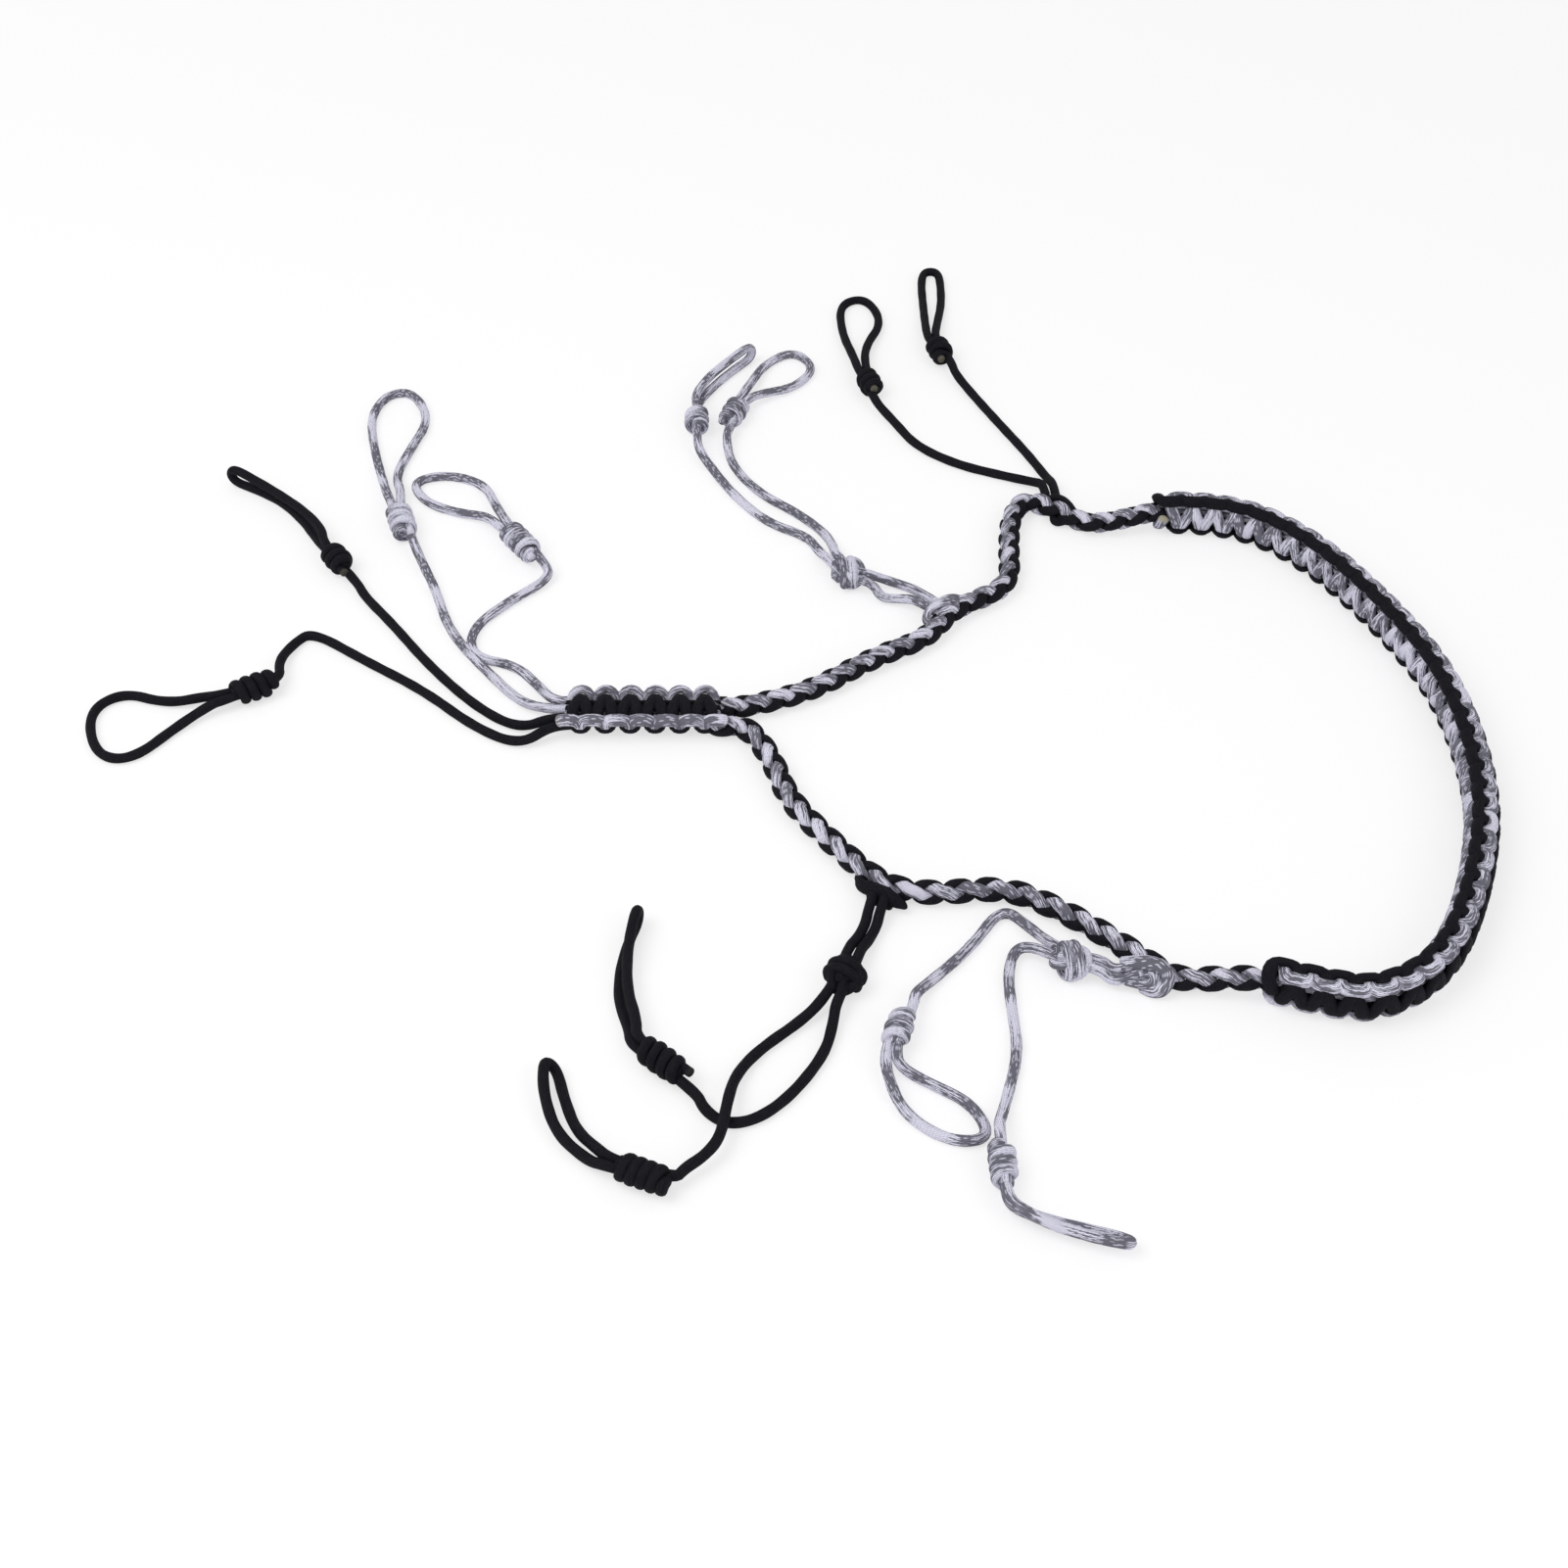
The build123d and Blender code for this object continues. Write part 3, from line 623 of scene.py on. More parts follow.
def woven(tree):
    """A cord's sheath: threads wind both ways round it and pass over each other in turn. Returns the
    place round and along the cord, the height of the weave, and one random number for each stitch."""
    uv = add_node(tree, "ShaderNodeUVMap", {"uv_map": "cord"})
    split = {"Vector": uv}
    around = add_node(tree, "ShaderNodeSeparateXYZ", None, split, "X")
    along = add_node(tree, "ShaderNodeSeparateXYZ", None, split, "Y")
    one_way = around * THREADS_ROUND + along * THREADS_ALONG
    other_way = around * THREADS_ROUND - along * THREADS_ALONG
    counted = one_way.whole() + other_way.whole()
    upper = counted.maths("FLOORED_MODULO", counted, 2)
    over = upper.between(one_way.bulge(), other_way.bulge())
    under = upper.between(other_way.bulge(), one_way.bulge())
    height = over.maths("POWER", over, 0.6) * (under * 0.45 + 0.55)
    stitch = add_node(tree, "ShaderNodeCombineXYZ", None, {"X": one_way.whole(), "Y": other_way.whole()})
    random = add_node(tree, "ShaderNodeTexWhiteNoise", {"noise_dimensions": "2D"}, {"Vector": stitch})
    return around, along, height, random


def new_material(name):
    """An empty material, whose node tree is returned for a finish to be built in."""
    material = bpy.data.materials.new(name)
    material.use_nodes = True
    material.node_tree.nodes.clear()
    return material.node_tree


def finish_material(tree, colour, roughness, height, bump, gloss):
    """Surface of a colour and roughness, raised by a height."""
    raised = add_node(
        tree, "ShaderNodeBump", None, {"Height": height, "Strength": bump, "Distance": WEAVE_DEPTH}
    )
    finish = add_node(tree, "ShaderNodeBsdfPrincipled", None, {
        "Base Color": colour, "Roughness": roughness, "Normal": raised, "Specular IOR Level": gloss,
    })
    add_node_output(tree, finish)


def add_node_output(tree, finish):
    output = tree.nodes.new("ShaderNodeOutputMaterial")
    tree.links.new(finish.socket, output.inputs["Surface"])


def melt_of(tree):
    """How melted a cord is, from 0 to 1. Melting takes its weave away."""
    return add_node(tree, "ShaderNodeAttribute", {"attribute_name": "melt"}, None, "Fac")


class LANYARD_OT_materials(Operator):
    """Make the black and the camouflage cord"""

    bl_idname = "lanyard.materials"
    bl_label = "Cord materials"

    def execute(self, context):
        colours = context.scene.lanyard.colours
        self.black(colours)
        self.camouflage(colours)
        return {"FINISHED"}

    def black(self, colours):
        tree = new_material(FINISHES["black_cord"])
        _, _, height, random = woven(tree)
        # Painted shade and painted highlight: the black darkens to 0.35 of itself where the weave sinks
        # and lightens to 1.9 of itself on raised threads, mixed with a random tone for each stitch.
        threads = height * (random * 0.5 + 0.5)
        dark = tuple(0.35 * part for part in colours.black)
        light = tuple(1.9 * part for part in colours.black)
        melt = melt_of(tree)
        colour = melt.colours(threads.colours(dark, light), tuple(colours.melted))
        finish_material(tree, colour, height.between(0.85, 0.62), height * (1 - melt), 0.6, 0.1)

    def camouflage(self, colours):
        tree = new_material(FINISHES["camouflage_cord"])
        around, along, height, random = woven(tree)
        streak = self.cloud(tree, around * STREAKS[0], along * STREAKS[1])
        patch = self.cloud(tree, around * PATCHES[0], along * PATCHES[1])
        dye = (streak * 0.42 + patch * 0.58).smooth(*DYE_EDGE)
        share = dye.between(random.smooth(0.7, 0.9) * 0.6, random.smooth(0.0, 0.25).between(0.8, 1.0))
        thread_colour = share.colours(tuple(colours.grey), tuple(colours.pale))
        # Painted shade: where the weave sinks between threads, the dyed colour turns to a dark shadow
        # colour.
        clear_of_gap_shade = height.smooth(0.12, 0.62)
        melt = melt_of(tree)
        colour = melt.colours(clear_of_gap_shade.colours(tuple(colours.gap), thread_colour), tuple(colours.melted))
        finish_material(tree, colour, height.between(0.8, 0.58), height * (1 - melt), 0.5, 0.25)

    def cloud(self, tree, x, y):
        """Soft noise over two numbers."""
        spot = add_node(tree, "ShaderNodeCombineXYZ", None, {"X": x, "Y": y})
        return add_node(
            tree, "ShaderNodeTexNoise", {"noise_dimensions": "2D"},
            {"Vector": spot, "Scale": 1.0, "Detail": 1.0, "Roughness": 0.5},
        )


# ---- cords -----------------------------------------------------------------------------------


def noose_axes(drop):
    """Middle of a noose's barrel in millimetres, and its across, third and heading directions."""
    along = turn(drop["heading"])
    side = np.cross(UP, along)
    roll = radians(drop["roll"])
    across = side * cos(roll) + UP * sin(roll)
    return np.array((*drop["centre"], NOOSE_Z)), across, np.cross(along, across), along


def noose_point(drop, lane, along):
    """Point in one of the barrel's two cord lanes, at a distance along it from its middle."""
    middle, across, _, heading = noose_axes(drop)
    return tuple(middle + lane * LANE * across + along * heading)


def leaving(centre, angle, side, reach):
    """Start of a cord inside the knot that carries it, and the end of its straight run out."""
    out, across = turn(angle), turn(angle + 90)
    middle = np.array((*centre, EXIT_Z)) + side * PAIR * across
    return [tuple(middle + BURIED * out), tuple(middle + reach * out)]


def leg_start(drop):
    """The leg's first points, in the front bar's mouth, at its hitch or at its overhand knot."""
    carrier = drop["carrier"]
    if carrier == "front":
        y = FRONT_Y + drop["exit"] * EXIT_PITCH
        return [(MOUTH_X + MOUTH_BURIED, y, FRONT_Z), (MOUTH_X - MOUTH_REACH, y, FRONT_Z)]
    if carrier in OVERHANDS:
        return leaving(OVERHANDS[carrier]["centre"], *drop["exit"], KNOT_REACH)
    return leaving(HITCHES[carrier]["centre"], *drop["exit"], EXIT_REACH)


GRIP_FADE = 7 * MM        # how far from a noose a cord is back at its full width
SWELL_LENGTH = 11 * MM    # of the slight waves in a cord's width


def add_cord(context, name, points, node, squeeze=(False, False), index=0):
    """A round cord along a route's smooth line, a little thinner at an end that a noose grips.
    Returns the piece and the line that it follows."""
    cord = context.scene.lanyard.cord
    line = even_line(points, cord.ring)
    along = distances(line)
    grip = np.ones(len(line))
    for gripped, run in zip(squeeze, (along, along[-1] - along)):
        if gripped:
            share = np.clip(run / GRIP_FADE, 0, 1)
            grip *= cord.squeezed + (1 - cord.squeezed) * share * share * (3 - 2 * share)
    swell = 1 + 0.02 * np.sin(along / SWELL_LENGTH * tau + index)
    half = cord.width / 2 * grip * swell
    shell = Shell()
    shell.start = 3.7 * index
    shell.tube(line, carried_frame(line), half, half, cord.sides, cap=0.5)
    return shell.piece(name, slot_of(name), [node]), line


class LANYARD_OT_drops(Operator):
    """Lay the legs and loops of the twelve drops"""

    bl_idname = "lanyard.drops"
    bl_label = "Drops"

    def execute(self, context):
        for index, (name, drop) in enumerate(DROPS.items()):
            half = drop["half"]
            lane = drop["leg_side"]
            leg = [
                *leg_start(drop), *drop["leg"],
                noose_point(drop, lane, -half - drop["lead"]), noose_point(drop, lane, half),
            ]
            loop = [
                noose_point(drop, lane, half - LOOP_BURIED), noose_point(drop, lane, half + LOOP_RUN),
                *drop["loop"],
                noose_point(drop, -lane, half + LOOP_RUN), noose_point(drop, -lane, half - LOOP_BURIED),
            ]
            piece, line = add_cord(
                context, f"{name}_leg_cord", leg, f"{name}_leg", (False, True), index
            )
            piece, line = add_cord(
                context, f"{name}_loop_cord", loop, f"{name}_loop", (True, True), index + 0.5
            )
            self.let_slide(piece, line, drop, f"{name}_slide")
        return {"FINISHED"}

    def let_slide(self, piece, line, drop, joint):
        """Works out how far the noose slides along the loop, and gives the loop a mesh of its own."""
        heading = noose_axes(drop)[3]
        reach = (line - line[0]) @ heading
        travel = next(j for j in frame["joints"] if j["name"] == joint)["range_m"][1]
        anchor = line[0] + reach.max() * heading
        1 - travel / reach.max()
        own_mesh(piece)


class LANYARD_OT_tethers(Operator):
    """Lay the doubled cords between the hitches and the overhand knots"""

    bl_idname = "lanyard.tethers"
    bl_label = "Tethers"

    def execute(self, context):
        for place, sides in TETHERS.items():
            hitch, knot = HITCHES[place], OVERHANDS[place]
            short = place == "lower_grey"
            hitch_reach, knot_reach = SHORT_REACHES if short else (EXIT_REACH, KNOT_REACH)
            for index, (side, between) in enumerate(sides.items()):
                out = leaving(hitch["centre"], hitch["out"], side, hitch_reach)
                back = leaving(knot["centre"], knot["enter"], -side, knot_reach)
                hand = "right" if side < 0 else "left"
                piece, line = add_cord(
                    context, f"{place}_tether_{hand}", [*out, *between, *back[::-1]],
                    f"{place}_tether", index=20 + index + len(place),
                )
                not short
        return {"FINISHED"}


COIL_INSET = 2.3 * MM     # from a barrel's end to the middle of the wrap there
INNER_INSET = 1.6 * MM    # from a barrel's end to that of the filling inside its wraps
CUT_SPOKE = 2.3 * MM      # from a barrel's middle line to that of a cut end
CUT_HALF = 1.8 * MM       # half the width of a cut end
WRAP_HALVES = (2.15 * MM, 1.6 * MM)       # half the width and depth of a flattened wrap
FILLING_HALVES = (3.4 * MM, 2.4 * MM)     # the same of the filling
DIVE = 0.16               # turn at each end of a helix in which the cord dives into the barrel


class LANYARD_OT_nooses(Operator):
    """Wrap the nooses round their cords"""

    bl_idname = "lanyard.nooses"
    bl_label = "Nooses"

    def execute(self, context):
        radius = context.scene.lanyard.knots.wrap_radius
        for index, (name, drop) in enumerate(DROPS.items()):
            wraps = WRAPS[name]
            middle, across, third, heading = noose_axes(drop)
            middle = middle * MM
            front, rear = (reach * MM for reach in wraps["ends"])
            shell = Shell()
            shell.start = 2.9 * index
            self.coils(shell, wraps, radius, drop["leg_side"], middle, across, third, heading)
            run = np.linspace(INNER_INSET - rear, front - INNER_INSET, 12)
            inner = middle + run[:, None] * heading
            width, depth = FILLING_HALVES
            shell.tube(inner, leaned_frame(inner, third), width * wraps["girth"], depth, 12, cap=0.5)
            if "cut_end" in wraps:
                angle, reach, melted = wraps["cut_end"]
                spoke = cos(radians(angle)) * np.cross(UP, heading) + sin(radians(angle)) * UP
                run = np.linspace(-rear - reach * MM, 0, 14)
                line = middle + CUT_SPOKE * spoke + run[:, None] * heading
                shell.tube(line, leaned_frame(line, spoke), CUT_HALF, CUT_HALF, 14, cap=0.5,
                           melted=(melted, 0))
            shell.piece(f"{name}_noose_wraps", slot_of(name), [f"{name}_noose"])
        return {"FINISHED"}

    def coils(self, shell, wraps, radius, hand, middle, across, third, heading):
        """A flattened cord on a helix: radius * (cos * across + sin * third) + heading * rise. The
        barrel tapers, and at each end the cord dives into it."""
        front, rear = (reach * MM for reach in wraps["ends"])
        turns = wraps["coils"] - 0.5
        angle = np.linspace(-DIVE, turns + DIVE, int(46 * (turns + 2 * DIVE))) * tau
        share = angle / tau / turns
        rise = COIL_INSET - rear + (front + rear - 2 * COIL_INSET) * np.clip(share, 0, 1)
        outside = np.maximum(-share, share - 1).clip(0) * turns / DIVE
        taper = 1 - 0.14 * (2 * np.clip(share, 0, 1) - 1) ** 4
        swing = angle * hand + 0.4
        spoke = np.cos(swing)[:, None] * across + np.sin(swing)[:, None] * third
        reach = radius * wraps["girth"] * taper - 2.0 * MM * outside ** 1.5
        line = middle + spoke * reach[:, None] + rise[:, None] * heading
        swell = 1 + 0.05 * np.sin(3 * angle) + 0.04 * np.sin(1.7 * angle)
        width, depth = WRAP_HALVES
        shell.tube(line, leaned_frame(line, spoke), width * swell, depth * swell, 12)


# ---- the worn loop ---------------------------------------------------------------------------


PLAIN_END = 0.75 * MM     # of a band's line, before its first knot and after its last
CORE_SPACING = 2.9        # between two neighbouring core cords, in millimetres


class SquareKnotting:
    """Square knots tied by two cords round four straight ones, along a band's middle line.

    With t the turn along one full knot, pitch/tau * (t + lag * sin 2t + lean * sin t) is the length
    along, and reach * (cos t - tuck * cos 3t) / (1 - tuck) is the offset across. The offset through
    the band is a cosine of 2t with a little of 6t, from the bead's height at an edge to the bar's on
    the other face. The lag makes each cord run along its edge and come back as it crosses, so bars
    zigzag. The tuck squares a bead off, and where it is negative it peaks it."""

    def __init__(self, knots, line, width_way, face_way):
        self.knots, self.line, self.along = knots, line, distances(line)
        self.width_way, self.face_way = width_way, face_way
        knotted = self.along[-1] - 2 * PLAIN_END
        self.count = round(knotted / knots.bar_pitch)
        self.pitch = knotted / self.count

    def tie(self, shell, hand, build, spare, melted):
        """The cord whose bars show on the face (hand 1) or on the back (hand -1). It starts and ends
        a spare share of a turn beyond the first and the last knot."""
        turns = np.linspace(-spare, self.count + spare, self.count * 40) * tau
        second_edge = (1 - hand * np.cos(turns)) / 2
        reach, tuck, tilt, lag, width = (
            first + (second - first) * second_edge
            for first, second in (build[key] for key in ("reach", "tuck", "tilt", "lag", "widths"))
        )
        lean = build.get("lean", 0) * np.sin(turns)
        length = self.pitch / tau * (turns + lag * np.sin(2 * turns) + lean) + PLAIN_END
        bead, bar = build["bead"], self.knots.bar_height / MM
        wide = -hand * reach * (np.cos(turns) - tuck * np.cos(3 * turns)) / (1 - tuck)
        wave = (np.cos(2 * turns) - np.cos(6 * turns) / 9) / (1 - 1 / 9)
        deep = -hand * ((bead - bar) / 2 + (bead + bar) / 2 * wave)
        place = sampled(self.line, self.along, length)
        beyond = length - np.clip(length, 0, self.along[-1])
        place += beyond[:, None] * tangents(self.line)[np.where(length < 0, 0, -1)]
        width_way = unit(sampled(self.width_way, self.along, length))
        face_way = unit(sampled(self.face_way, self.along, length))
        line = place + (wide[:, None] * width_way + deep[:, None] * face_way) * MM
        out = (wide / reach ** 2)[:, None] * width_way + (tilt * deep / bar ** 2)[:, None] * face_way
        at_edge = (1 + np.cos(2 * turns)) / 2
        half_width = (build["bar"] + (width - build["bar"]) * at_edge) / 2 * MM
        shell.tube(line, leaned_frame(line, out), half_width, 1.7 * MM, 12, melted=melted)

    def core(self, shell, first):
        """Two of the four cords that the knots are tied round, squeezed side by side."""
        for number in (first, first + 1):
            offset = (number - 1.5) * CORE_SPACING * MM
            line = self.line + offset * self.width_way
            shell.tube(line, leaned_frame(line, self.face_way), 1.42 * MM, 2.9 * MM, 12, cap=0.3)


class LANYARD_OT_neck_band(Operator):
    """Tie the square knotting of the neck band, which stands on edge"""

    bl_idname = "lanyard.neck_band"
    bl_label = "Neck band"

    def execute(self, context):
        line = even_line([(x, y, BAND_Z) for x, y in NECK_BAND], 2 * MM)
        outwards = np.cross(UP, tangents(line))
        upwards = np.broadcast_to(UP, line.shape)
        knots = context.scene.lanyard.knots
        knotting = SquareKnotting(knots, line, -upwards, outwards)
        for colour, hand, first, melted in (("black", 1, 2, (0, 0)), ("grey", -1, 0, (1, 0))):
            cover, core = Shell(), Shell()
            knotting.tie(cover, hand, NECK_BUILD[colour], spare=0.25, melted=melted)
            cover.piece(f"neck_band_{colour}_knots", slot_of(colour), [f"neck_cover_{colour}"])
            knotting.core(core, first)
            core.piece(f"neck_band_{colour}_core", slot_of(colour), [f"neck_core_{colour}"])
        return {"FINISHED"}


class LANYARD_OT_front_bar(Operator):
    """Tie the square knotting of the front bar, which lies flat"""

    bl_idname = "lanyard.front_bar"
    bl_label = "Front bar"

    def execute(self, context):
        points = [(MOUTH_X + share * FRONT_LENGTH, FRONT_Y, FRONT_Z) for share in (0, 0.5, 1)]
        line = even_line(points, 2 * MM)
        width_way = np.broadcast_to((0.0, -1.0, 0.0), line.shape)
        knots = context.scene.lanyard.knots
        knotting = SquareKnotting(knots, line, width_way, np.broadcast_to(UP, line.shape))
        for colour, hand, first in (("black", 1, 0), ("grey", -1, 2)):
            cover, core = Shell(), Shell()
            knotting.tie(cover, hand, FRONT_BUILD[colour], spare=0.06, melted=(0.3, 0))
            cover.piece(f"front_bar_{colour}_knots", slot_of(colour), [f"front_cover_{colour}"])
            knotting.core(core, first)
            core.piece(f"front_bar_{colour}_core", slot_of(colour), [f"front_core_{colour}"])
        return {"FINISHED"}


class LANYARD_OT_braids(Operator):
    """Plait the two four-strand round braids"""

    bl_idname = "lanyard.braids"
    bl_label = "Braids"

    def execute(self, context):
        for place, points in BRAIDS.items():
            line = even_line([(*point, BRAID_Z)[:3] for point in points], 0.7 * MM)
            frames = leaned_frame(line, UP)
            for colour, rides in (("grey", 1), ("black", -1)):
                shell = Shell()
                for start in (0, pi):
                    self.strand(shell, place, line, frames, rides, start)
                shell.piece(f"{place}_braid_{colour}_strands", slot_of(colour),
                            [f"{place}_braid_{colour}"])
        return {"FINISHED"}

    def strand(self, shell, place, line, frames, rides, start):
        """A cord on a helix whose radius breathes twice a turn: middle + radius * (sin * side +
        cos * up), radius = 2.25 + rides * 0.95 * cos 2t mm, so it rides over and dips under. It turns
        slowly where it rides over and quickly where it dips, and the whole braid rolls as it goes."""
        side, up = frames
        along = distances(line)
        angle = start - rides * tau * along / (BRAID_PITCHES[place] * MM)
        angle = angle - rides * 0.36 * np.sin(2 * angle)
        radius = (2.25 + rides * 0.95 * np.cos(2 * angle)) * MM
        share, degrees = np.transpose(ROLLS[place])
        rolled = angle + np.radians(np.interp(along / along[-1], share, degrees))
        spoke = np.sin(rolled)[:, None] * side + np.cos(rolled)[:, None] * up
        centre = line + radius[:, None] * spoke
        shell.tube(centre, leaned_frame(centre, spoke), 2.35 * MM, 1.6 * MM, 12)


BIGHT_HALF = 2.9 * MM     # half the width of a hitch's bight
TURN_HALF = 2.05 * MM     # the same of its other turns
HITCH_DEPTH = 1.75 * MM   # half the depth of both


class LANYARD_OT_hitches(Operator):
    """Draw the cow hitches through the braids and over their own cords"""

    bl_idname = "lanyard.hitches"
    bl_label = "Hitches"

    def execute(self, context):
        for index, (place, hitch) in enumerate(HITCHES.items()):
            along = turn(hitch["along"])
            out = np.cross(UP, along)
            out = out if out @ turn(hitch["out"]) > 0 else -out
            centre = np.array((*hitch["centre"], 0))
            shell = Shell()
            shell.start = 5.1 * index
            for number, strand in enumerate(hitch["strands"]):
                strand = np.array(strand)
                points = centre + strand[:, :1] * along + strand[:, 1:2] * out + strand[:, 2:] * UP
                line = even_line(points, 0.6 * MM)
                away = line - (centre + 4 * UP) * MM
                away -= (away @ along)[:, None] * along
                half_width = BIGHT_HALF if number == 0 else TURN_HALF
                shell.tube(line, leaned_frame(line, away), half_width, HITCH_DEPTH, 14)
            for side in (-1, 1):
                self.standing_part(shell, centre, hitch["out"], side)
            shell.piece(f"{place}_hitch_wraps", slot_of(place), [f"{place}_hitch"])
        return {"FINISHED"}

    def standing_part(self, shell, centre, angle, side):
        """The carried cord's way on into the braid, in line with its straight run out of it."""
        out = turn(angle)
        middle = centre + side * PAIR * turn(angle + 90) + EXIT_Z * UP
        line = even_line([middle + 7.5 * out, middle + 3 * out, middle - 2 * out - UP], 0.6 * MM)
        shell.tube(line, carried_frame(line), 2.02 * MM, 2.02 * MM, 14)


class LANYARD_OT_overhand_knots(Operator):
    """Tie the overhand knots in the doubled cords"""

    bl_idname = "lanyard.overhand_knots"
    bl_label = "Overhand knots"

    def execute(self, context):
        for index, (place, knot) in enumerate(OVERHANDS.items()):
            below = np.array((*knot["centre"], -1.0)) * MM
            shell = Shell()
            shell.start = 4.3 * index
            for line in (self.pair_line(knot), self.band_line(knot)):
                side, up = leaned_frame(line, unit(line - below))
                for hand in (-1, 1):
                    strand = line + hand * 1.85 * MM * side
                    shell.tube(strand, leaned_frame(strand, up), 1.95 * MM, 1.8 * MM, 14)
            shell.piece(f"{place}_overhand_strands", slot_of(place), [f"{place}_overhand_knot"])
        return {"FINISHED"}

    def band_line(self, knot):
        """Middle line of the doubled cord where it crosses over the knot's top: an arch in plan
        along the band's direction."""
        centre, band = np.array((*knot["centre"], 0)), turn(knot["band"])
        arch = np.array([
            (-5.6, 3.4), (-6.8, 6.4), (-4.2, 9.6), (0, 11.4), (4.2, 9.6), (6.8, 6.4), (5.6, 3.4),
        ])
        return even_line(centre + arch[:, :1] * band + arch[:, 1:] * UP, 0.6 * MM)

    def pair_line(self, knot):
        """Middle line of the doubled cord: a trefoil, (2 + cos 3t) * (cos 2t, sin 2t) and sin 3t,
        cut open at its outer lobe beside the cords that enter and leave there."""
        centre, lobe = np.array((*knot["centre"], 6.4)), knot["lobe"]
        back, ahead = turn(knot["enter"]), turn(knot["leave"])
        level = unit(ahead - back)
        sideways = np.cross(UP, level) * lobe
        t = np.linspace(0.4, tau - 0.4, 34)
        radius = 1.62 * (2 + np.cos(3 * t))
        turned = 2 * t + pi / 2
        body = centre + (radius * np.cos(turned))[:, None] * level \
            + (radius * np.sin(turned))[:, None] * sideways \
            + (2.9 * np.sin(3 * t) * lobe)[:, None] * UP
        return even_line(np.concatenate([
            [centre + 8 * back - 0.4 * UP, centre + 6.2 * back - 0.4 * UP], body,
            [centre + 6.2 * ahead - 0.4 * UP, centre + 8 * ahead - 0.4 * UP],
        ]), 0.6 * MM)


# ---- studio ----------------------------------------------------------------------------------

CAMERA_PLACE = (-0.094, -0.6893, 0.6633)
CAMERA_TILT = pi / 4
KEY_PLACE, KEY_SIZE = (-0.75, -0.25, 1.15), 0.9
FILL_PLACE, FILL_SIZE = (0.8, -0.7, 0.9), 0.7
FILL_SHARE = 0.35                   # the fill lamp's power as a share of the key lamp's
LAMPS_AIM = (-0.09, 0.03, 0)
FLOOR_REACH = 6.0                   # half the floor's width
FLOOR_WHITE = (0.96, 0.955, 0.975)
GLOW_STRENGTH = 1.04
GLOW_GROWS = (0.5, 1.8)             # distances between which the floor's glow grows to the full

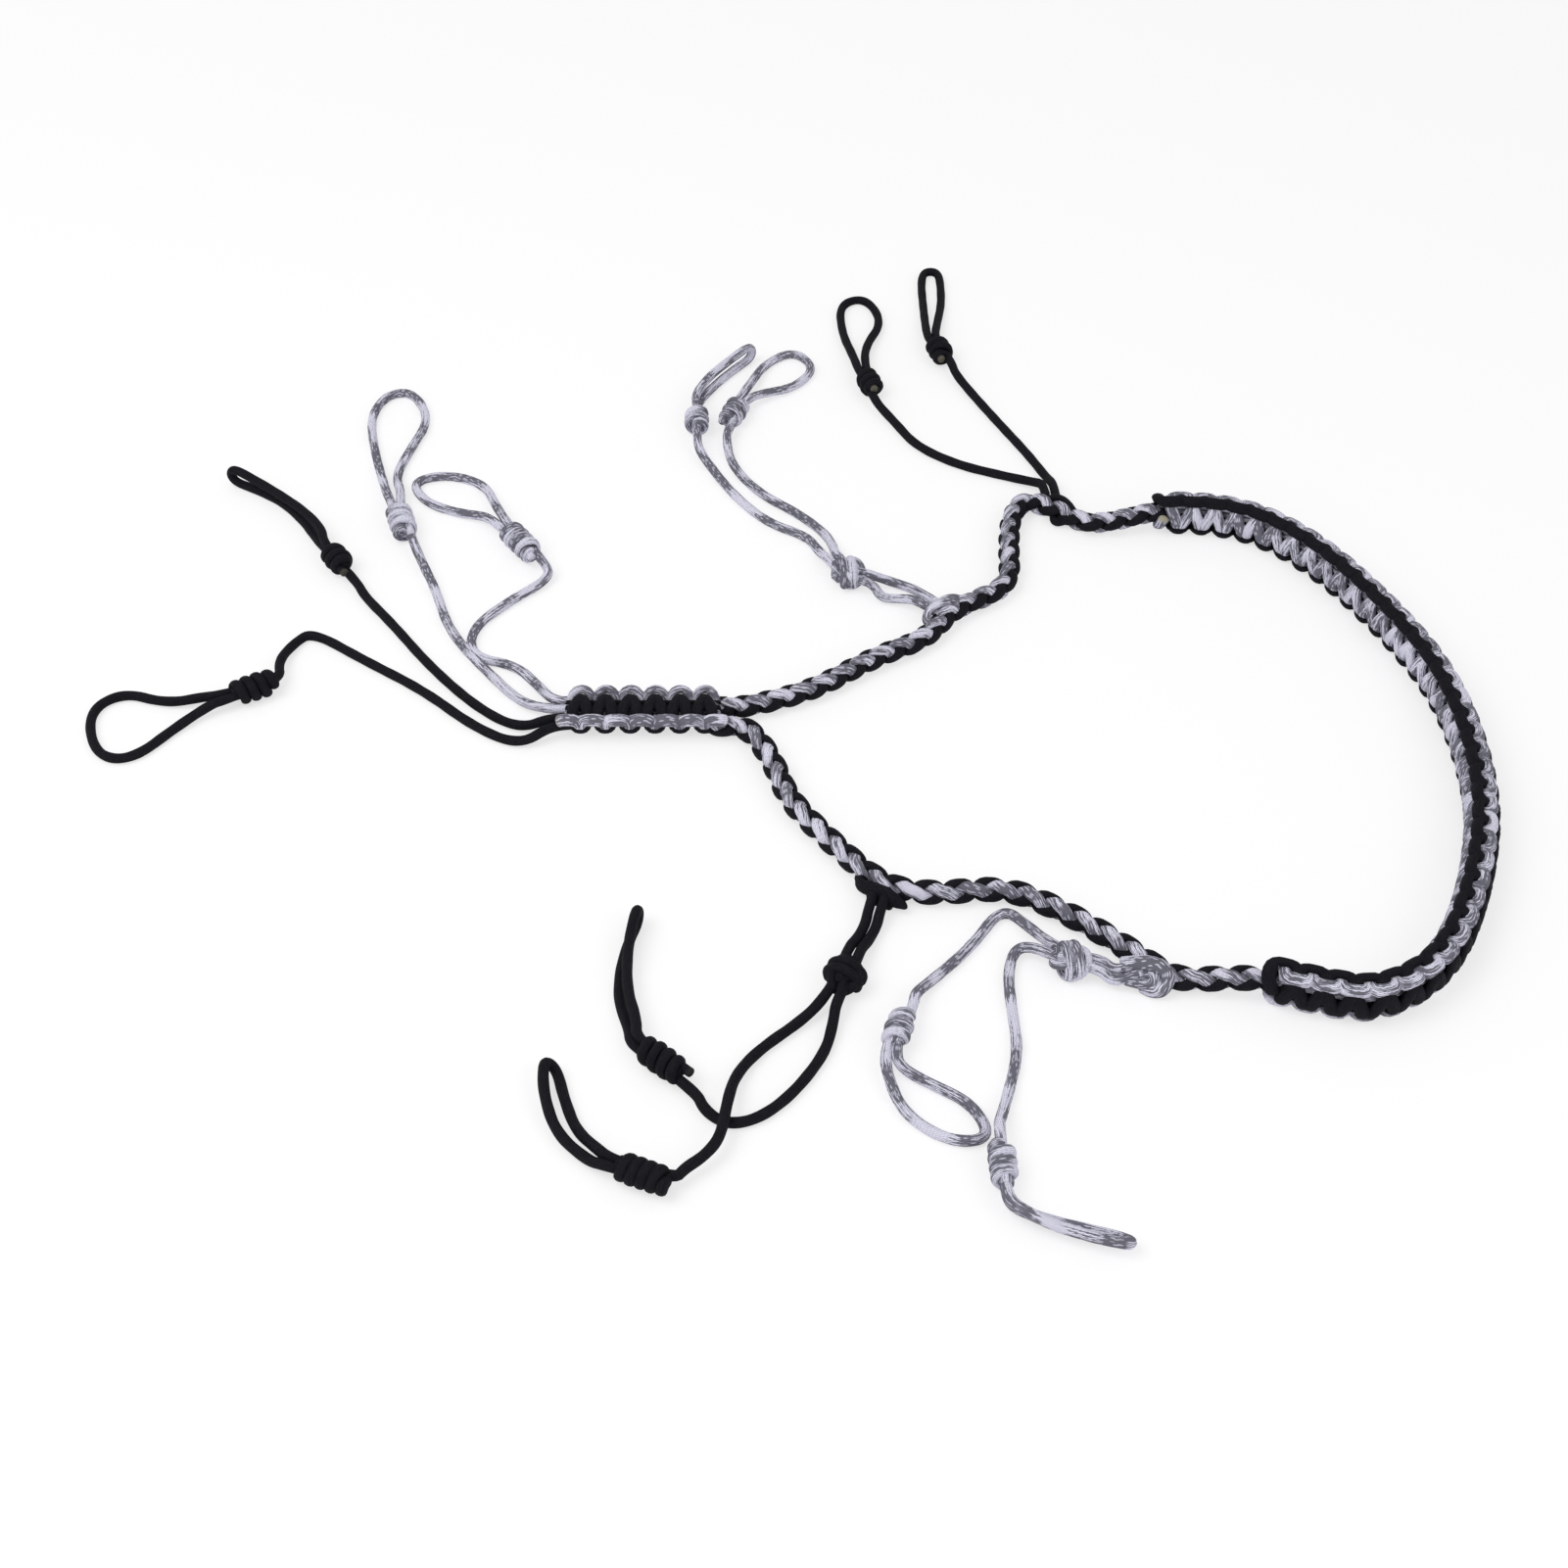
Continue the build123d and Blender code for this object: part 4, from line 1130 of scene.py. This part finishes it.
class LANYARD_OT_stage(Operator):
    """Set the floor, the lamps and the camera"""

    bl_idname = "lanyard.stage"
    bl_label = "Stage"

    def execute(self, context):
        studio = context.scene.lanyard.studio
        context.scene.view_settings.view_transform = "Standard"
        self.floor(context, studio)
        self.sky(context, studio)
        self.lamp(context, "Key", studio.key, KEY_PLACE, KEY_SIZE)
        self.lamp(context, "Fill", studio.key * FILL_SHARE, FILL_PLACE, FILL_SIZE)
        camera = bpy.data.objects.new("Camera", bpy.data.cameras.new("Camera"))
        camera.data.lens = studio.lens
        camera.location = CAMERA_PLACE
        camera.rotation_euler = (CAMERA_TILT, 0, 0)
        context.scene.collection.objects.link(camera)
        context.scene.camera = camera
        return {"FINISHED"}

    def floor(self, context, studio):
        """A flat white floor. Part of it glows for the camera, so that its shadows are faint, and far
        from the lanyard all of it does, so that it runs into the white sky."""
        tree = new_material("floor")
        path = add_node(tree, "ShaderNodeLightPath", None, None, "Is Camera Ray")
        place = add_node(tree, "ShaderNodeTexCoord", None, None, "Object")
        away = add_node(tree, "ShaderNodeVectorMath", {"operation": "LENGTH"}, {0: place}, "Value")
        white = add_node(tree, "ShaderNodeBsdfDiffuse", None, {"Color": FLOOR_WHITE})
        glow = add_node(
            tree, "ShaderNodeEmission", None, {"Color": (1, 1, 1), "Strength": GLOW_STRENGTH}
        )
        mixed = add_node(tree, "ShaderNodeMixShader", None, {
            0: path * away.smooth(*GLOW_GROWS).between(studio.glow, 1.0), 1: white, 2: glow,
        })
        add_node_output(tree, mixed)
        mesh = bpy.data.meshes.new("floor")
        corners = [
            (x * FLOOR_REACH, y * FLOOR_REACH, 0) for x, y in ((-1, -1), (1, -1), (1, 1), (-1, 1))
        ]
        mesh.from_pydata(corners, [], [(0, 1, 2, 3)])
        mesh.materials.append(bpy.data.materials["floor"])
        floor = bpy.data.objects.new("floor", mesh)
        context.scene.collection.objects.link(floor)

    def sky(self, context, studio):
        """Even light from all round, and plain white where the camera sees past the floor."""
        world = bpy.data.worlds.new("studio")
        world.use_nodes = True
        tree = world.node_tree
        tree.nodes.clear()
        path = add_node(tree, "ShaderNodeLightPath", None, None, "Is Camera Ray")
        light = add_node(
            tree, "ShaderNodeBackground", None,
            {"Color": (1, 1, 1), "Strength": path.between(studio.sky, 1.0)},
        )
        output = tree.nodes.new("ShaderNodeOutputWorld")
        tree.links.new(light.socket, output.inputs["Surface"])
        context.scene.world = world

    def lamp(self, context, name, power, place, size):
        data = bpy.data.lights.new(name, "AREA")
        data.energy, data.size = power, size
        lamp = bpy.data.objects.new(name, data)
        lamp.location = place
        aim = np.array(LAMPS_AIM) - np.array(place)
        lamp.rotation_euler = Vector(aim).to_track_quat("-Z", "Y").to_euler()
        context.scene.collection.objects.link(lamp)


class LANYARD_PT_panel(Panel):
    """The lanyard's sizes, colours and pieces"""

    bl_idname = "LANYARD_PT_panel"
    bl_label = "Call Lanyard"
    bl_space_type = "VIEW_3D"
    bl_region_type = "UI"
    bl_category = "Lanyard"

    def draw(self, context):
        settings = context.scene.lanyard
        for group in (settings.cord, settings.knots, settings.colours, settings.studio):
            box = self.layout.box()
            for name in group.__annotations__:
                box.prop(group, name)
        for operator in OPERATORS:
            self.layout.operator(operator.bl_idname)


GROUPS = (CordSettings, KnotSettings, ColourSettings, StudioSettings, LanyardSettings)
OPERATORS = (
    LANYARD_OT_stage, LANYARD_OT_materials, LANYARD_OT_drops, LANYARD_OT_tethers,
    LANYARD_OT_nooses, LANYARD_OT_neck_band, LANYARD_OT_front_bar, LANYARD_OT_braids,
    LANYARD_OT_hitches, LANYARD_OT_overhand_knots,
)
CLASSES = (*GROUPS, *OPERATORS, LANYARD_PT_panel)


def register():
    for made in CLASSES:
        bpy.utils.register_class(made)
    bpy.types.Scene.lanyard = PointerProperty(type=LanyardSettings)


def unregister():
    del bpy.types.Scene.lanyard
    for made in reversed(CLASSES):
        bpy.utils.unregister_class(made)


def main():
    register()
    for operator in OPERATORS:
        group, name = operator.bl_idname.split(".")
        getattr(getattr(bpy.ops, group), name)()
    bpy.context.view_layer.update()


if __name__ == "__main__":
    main()
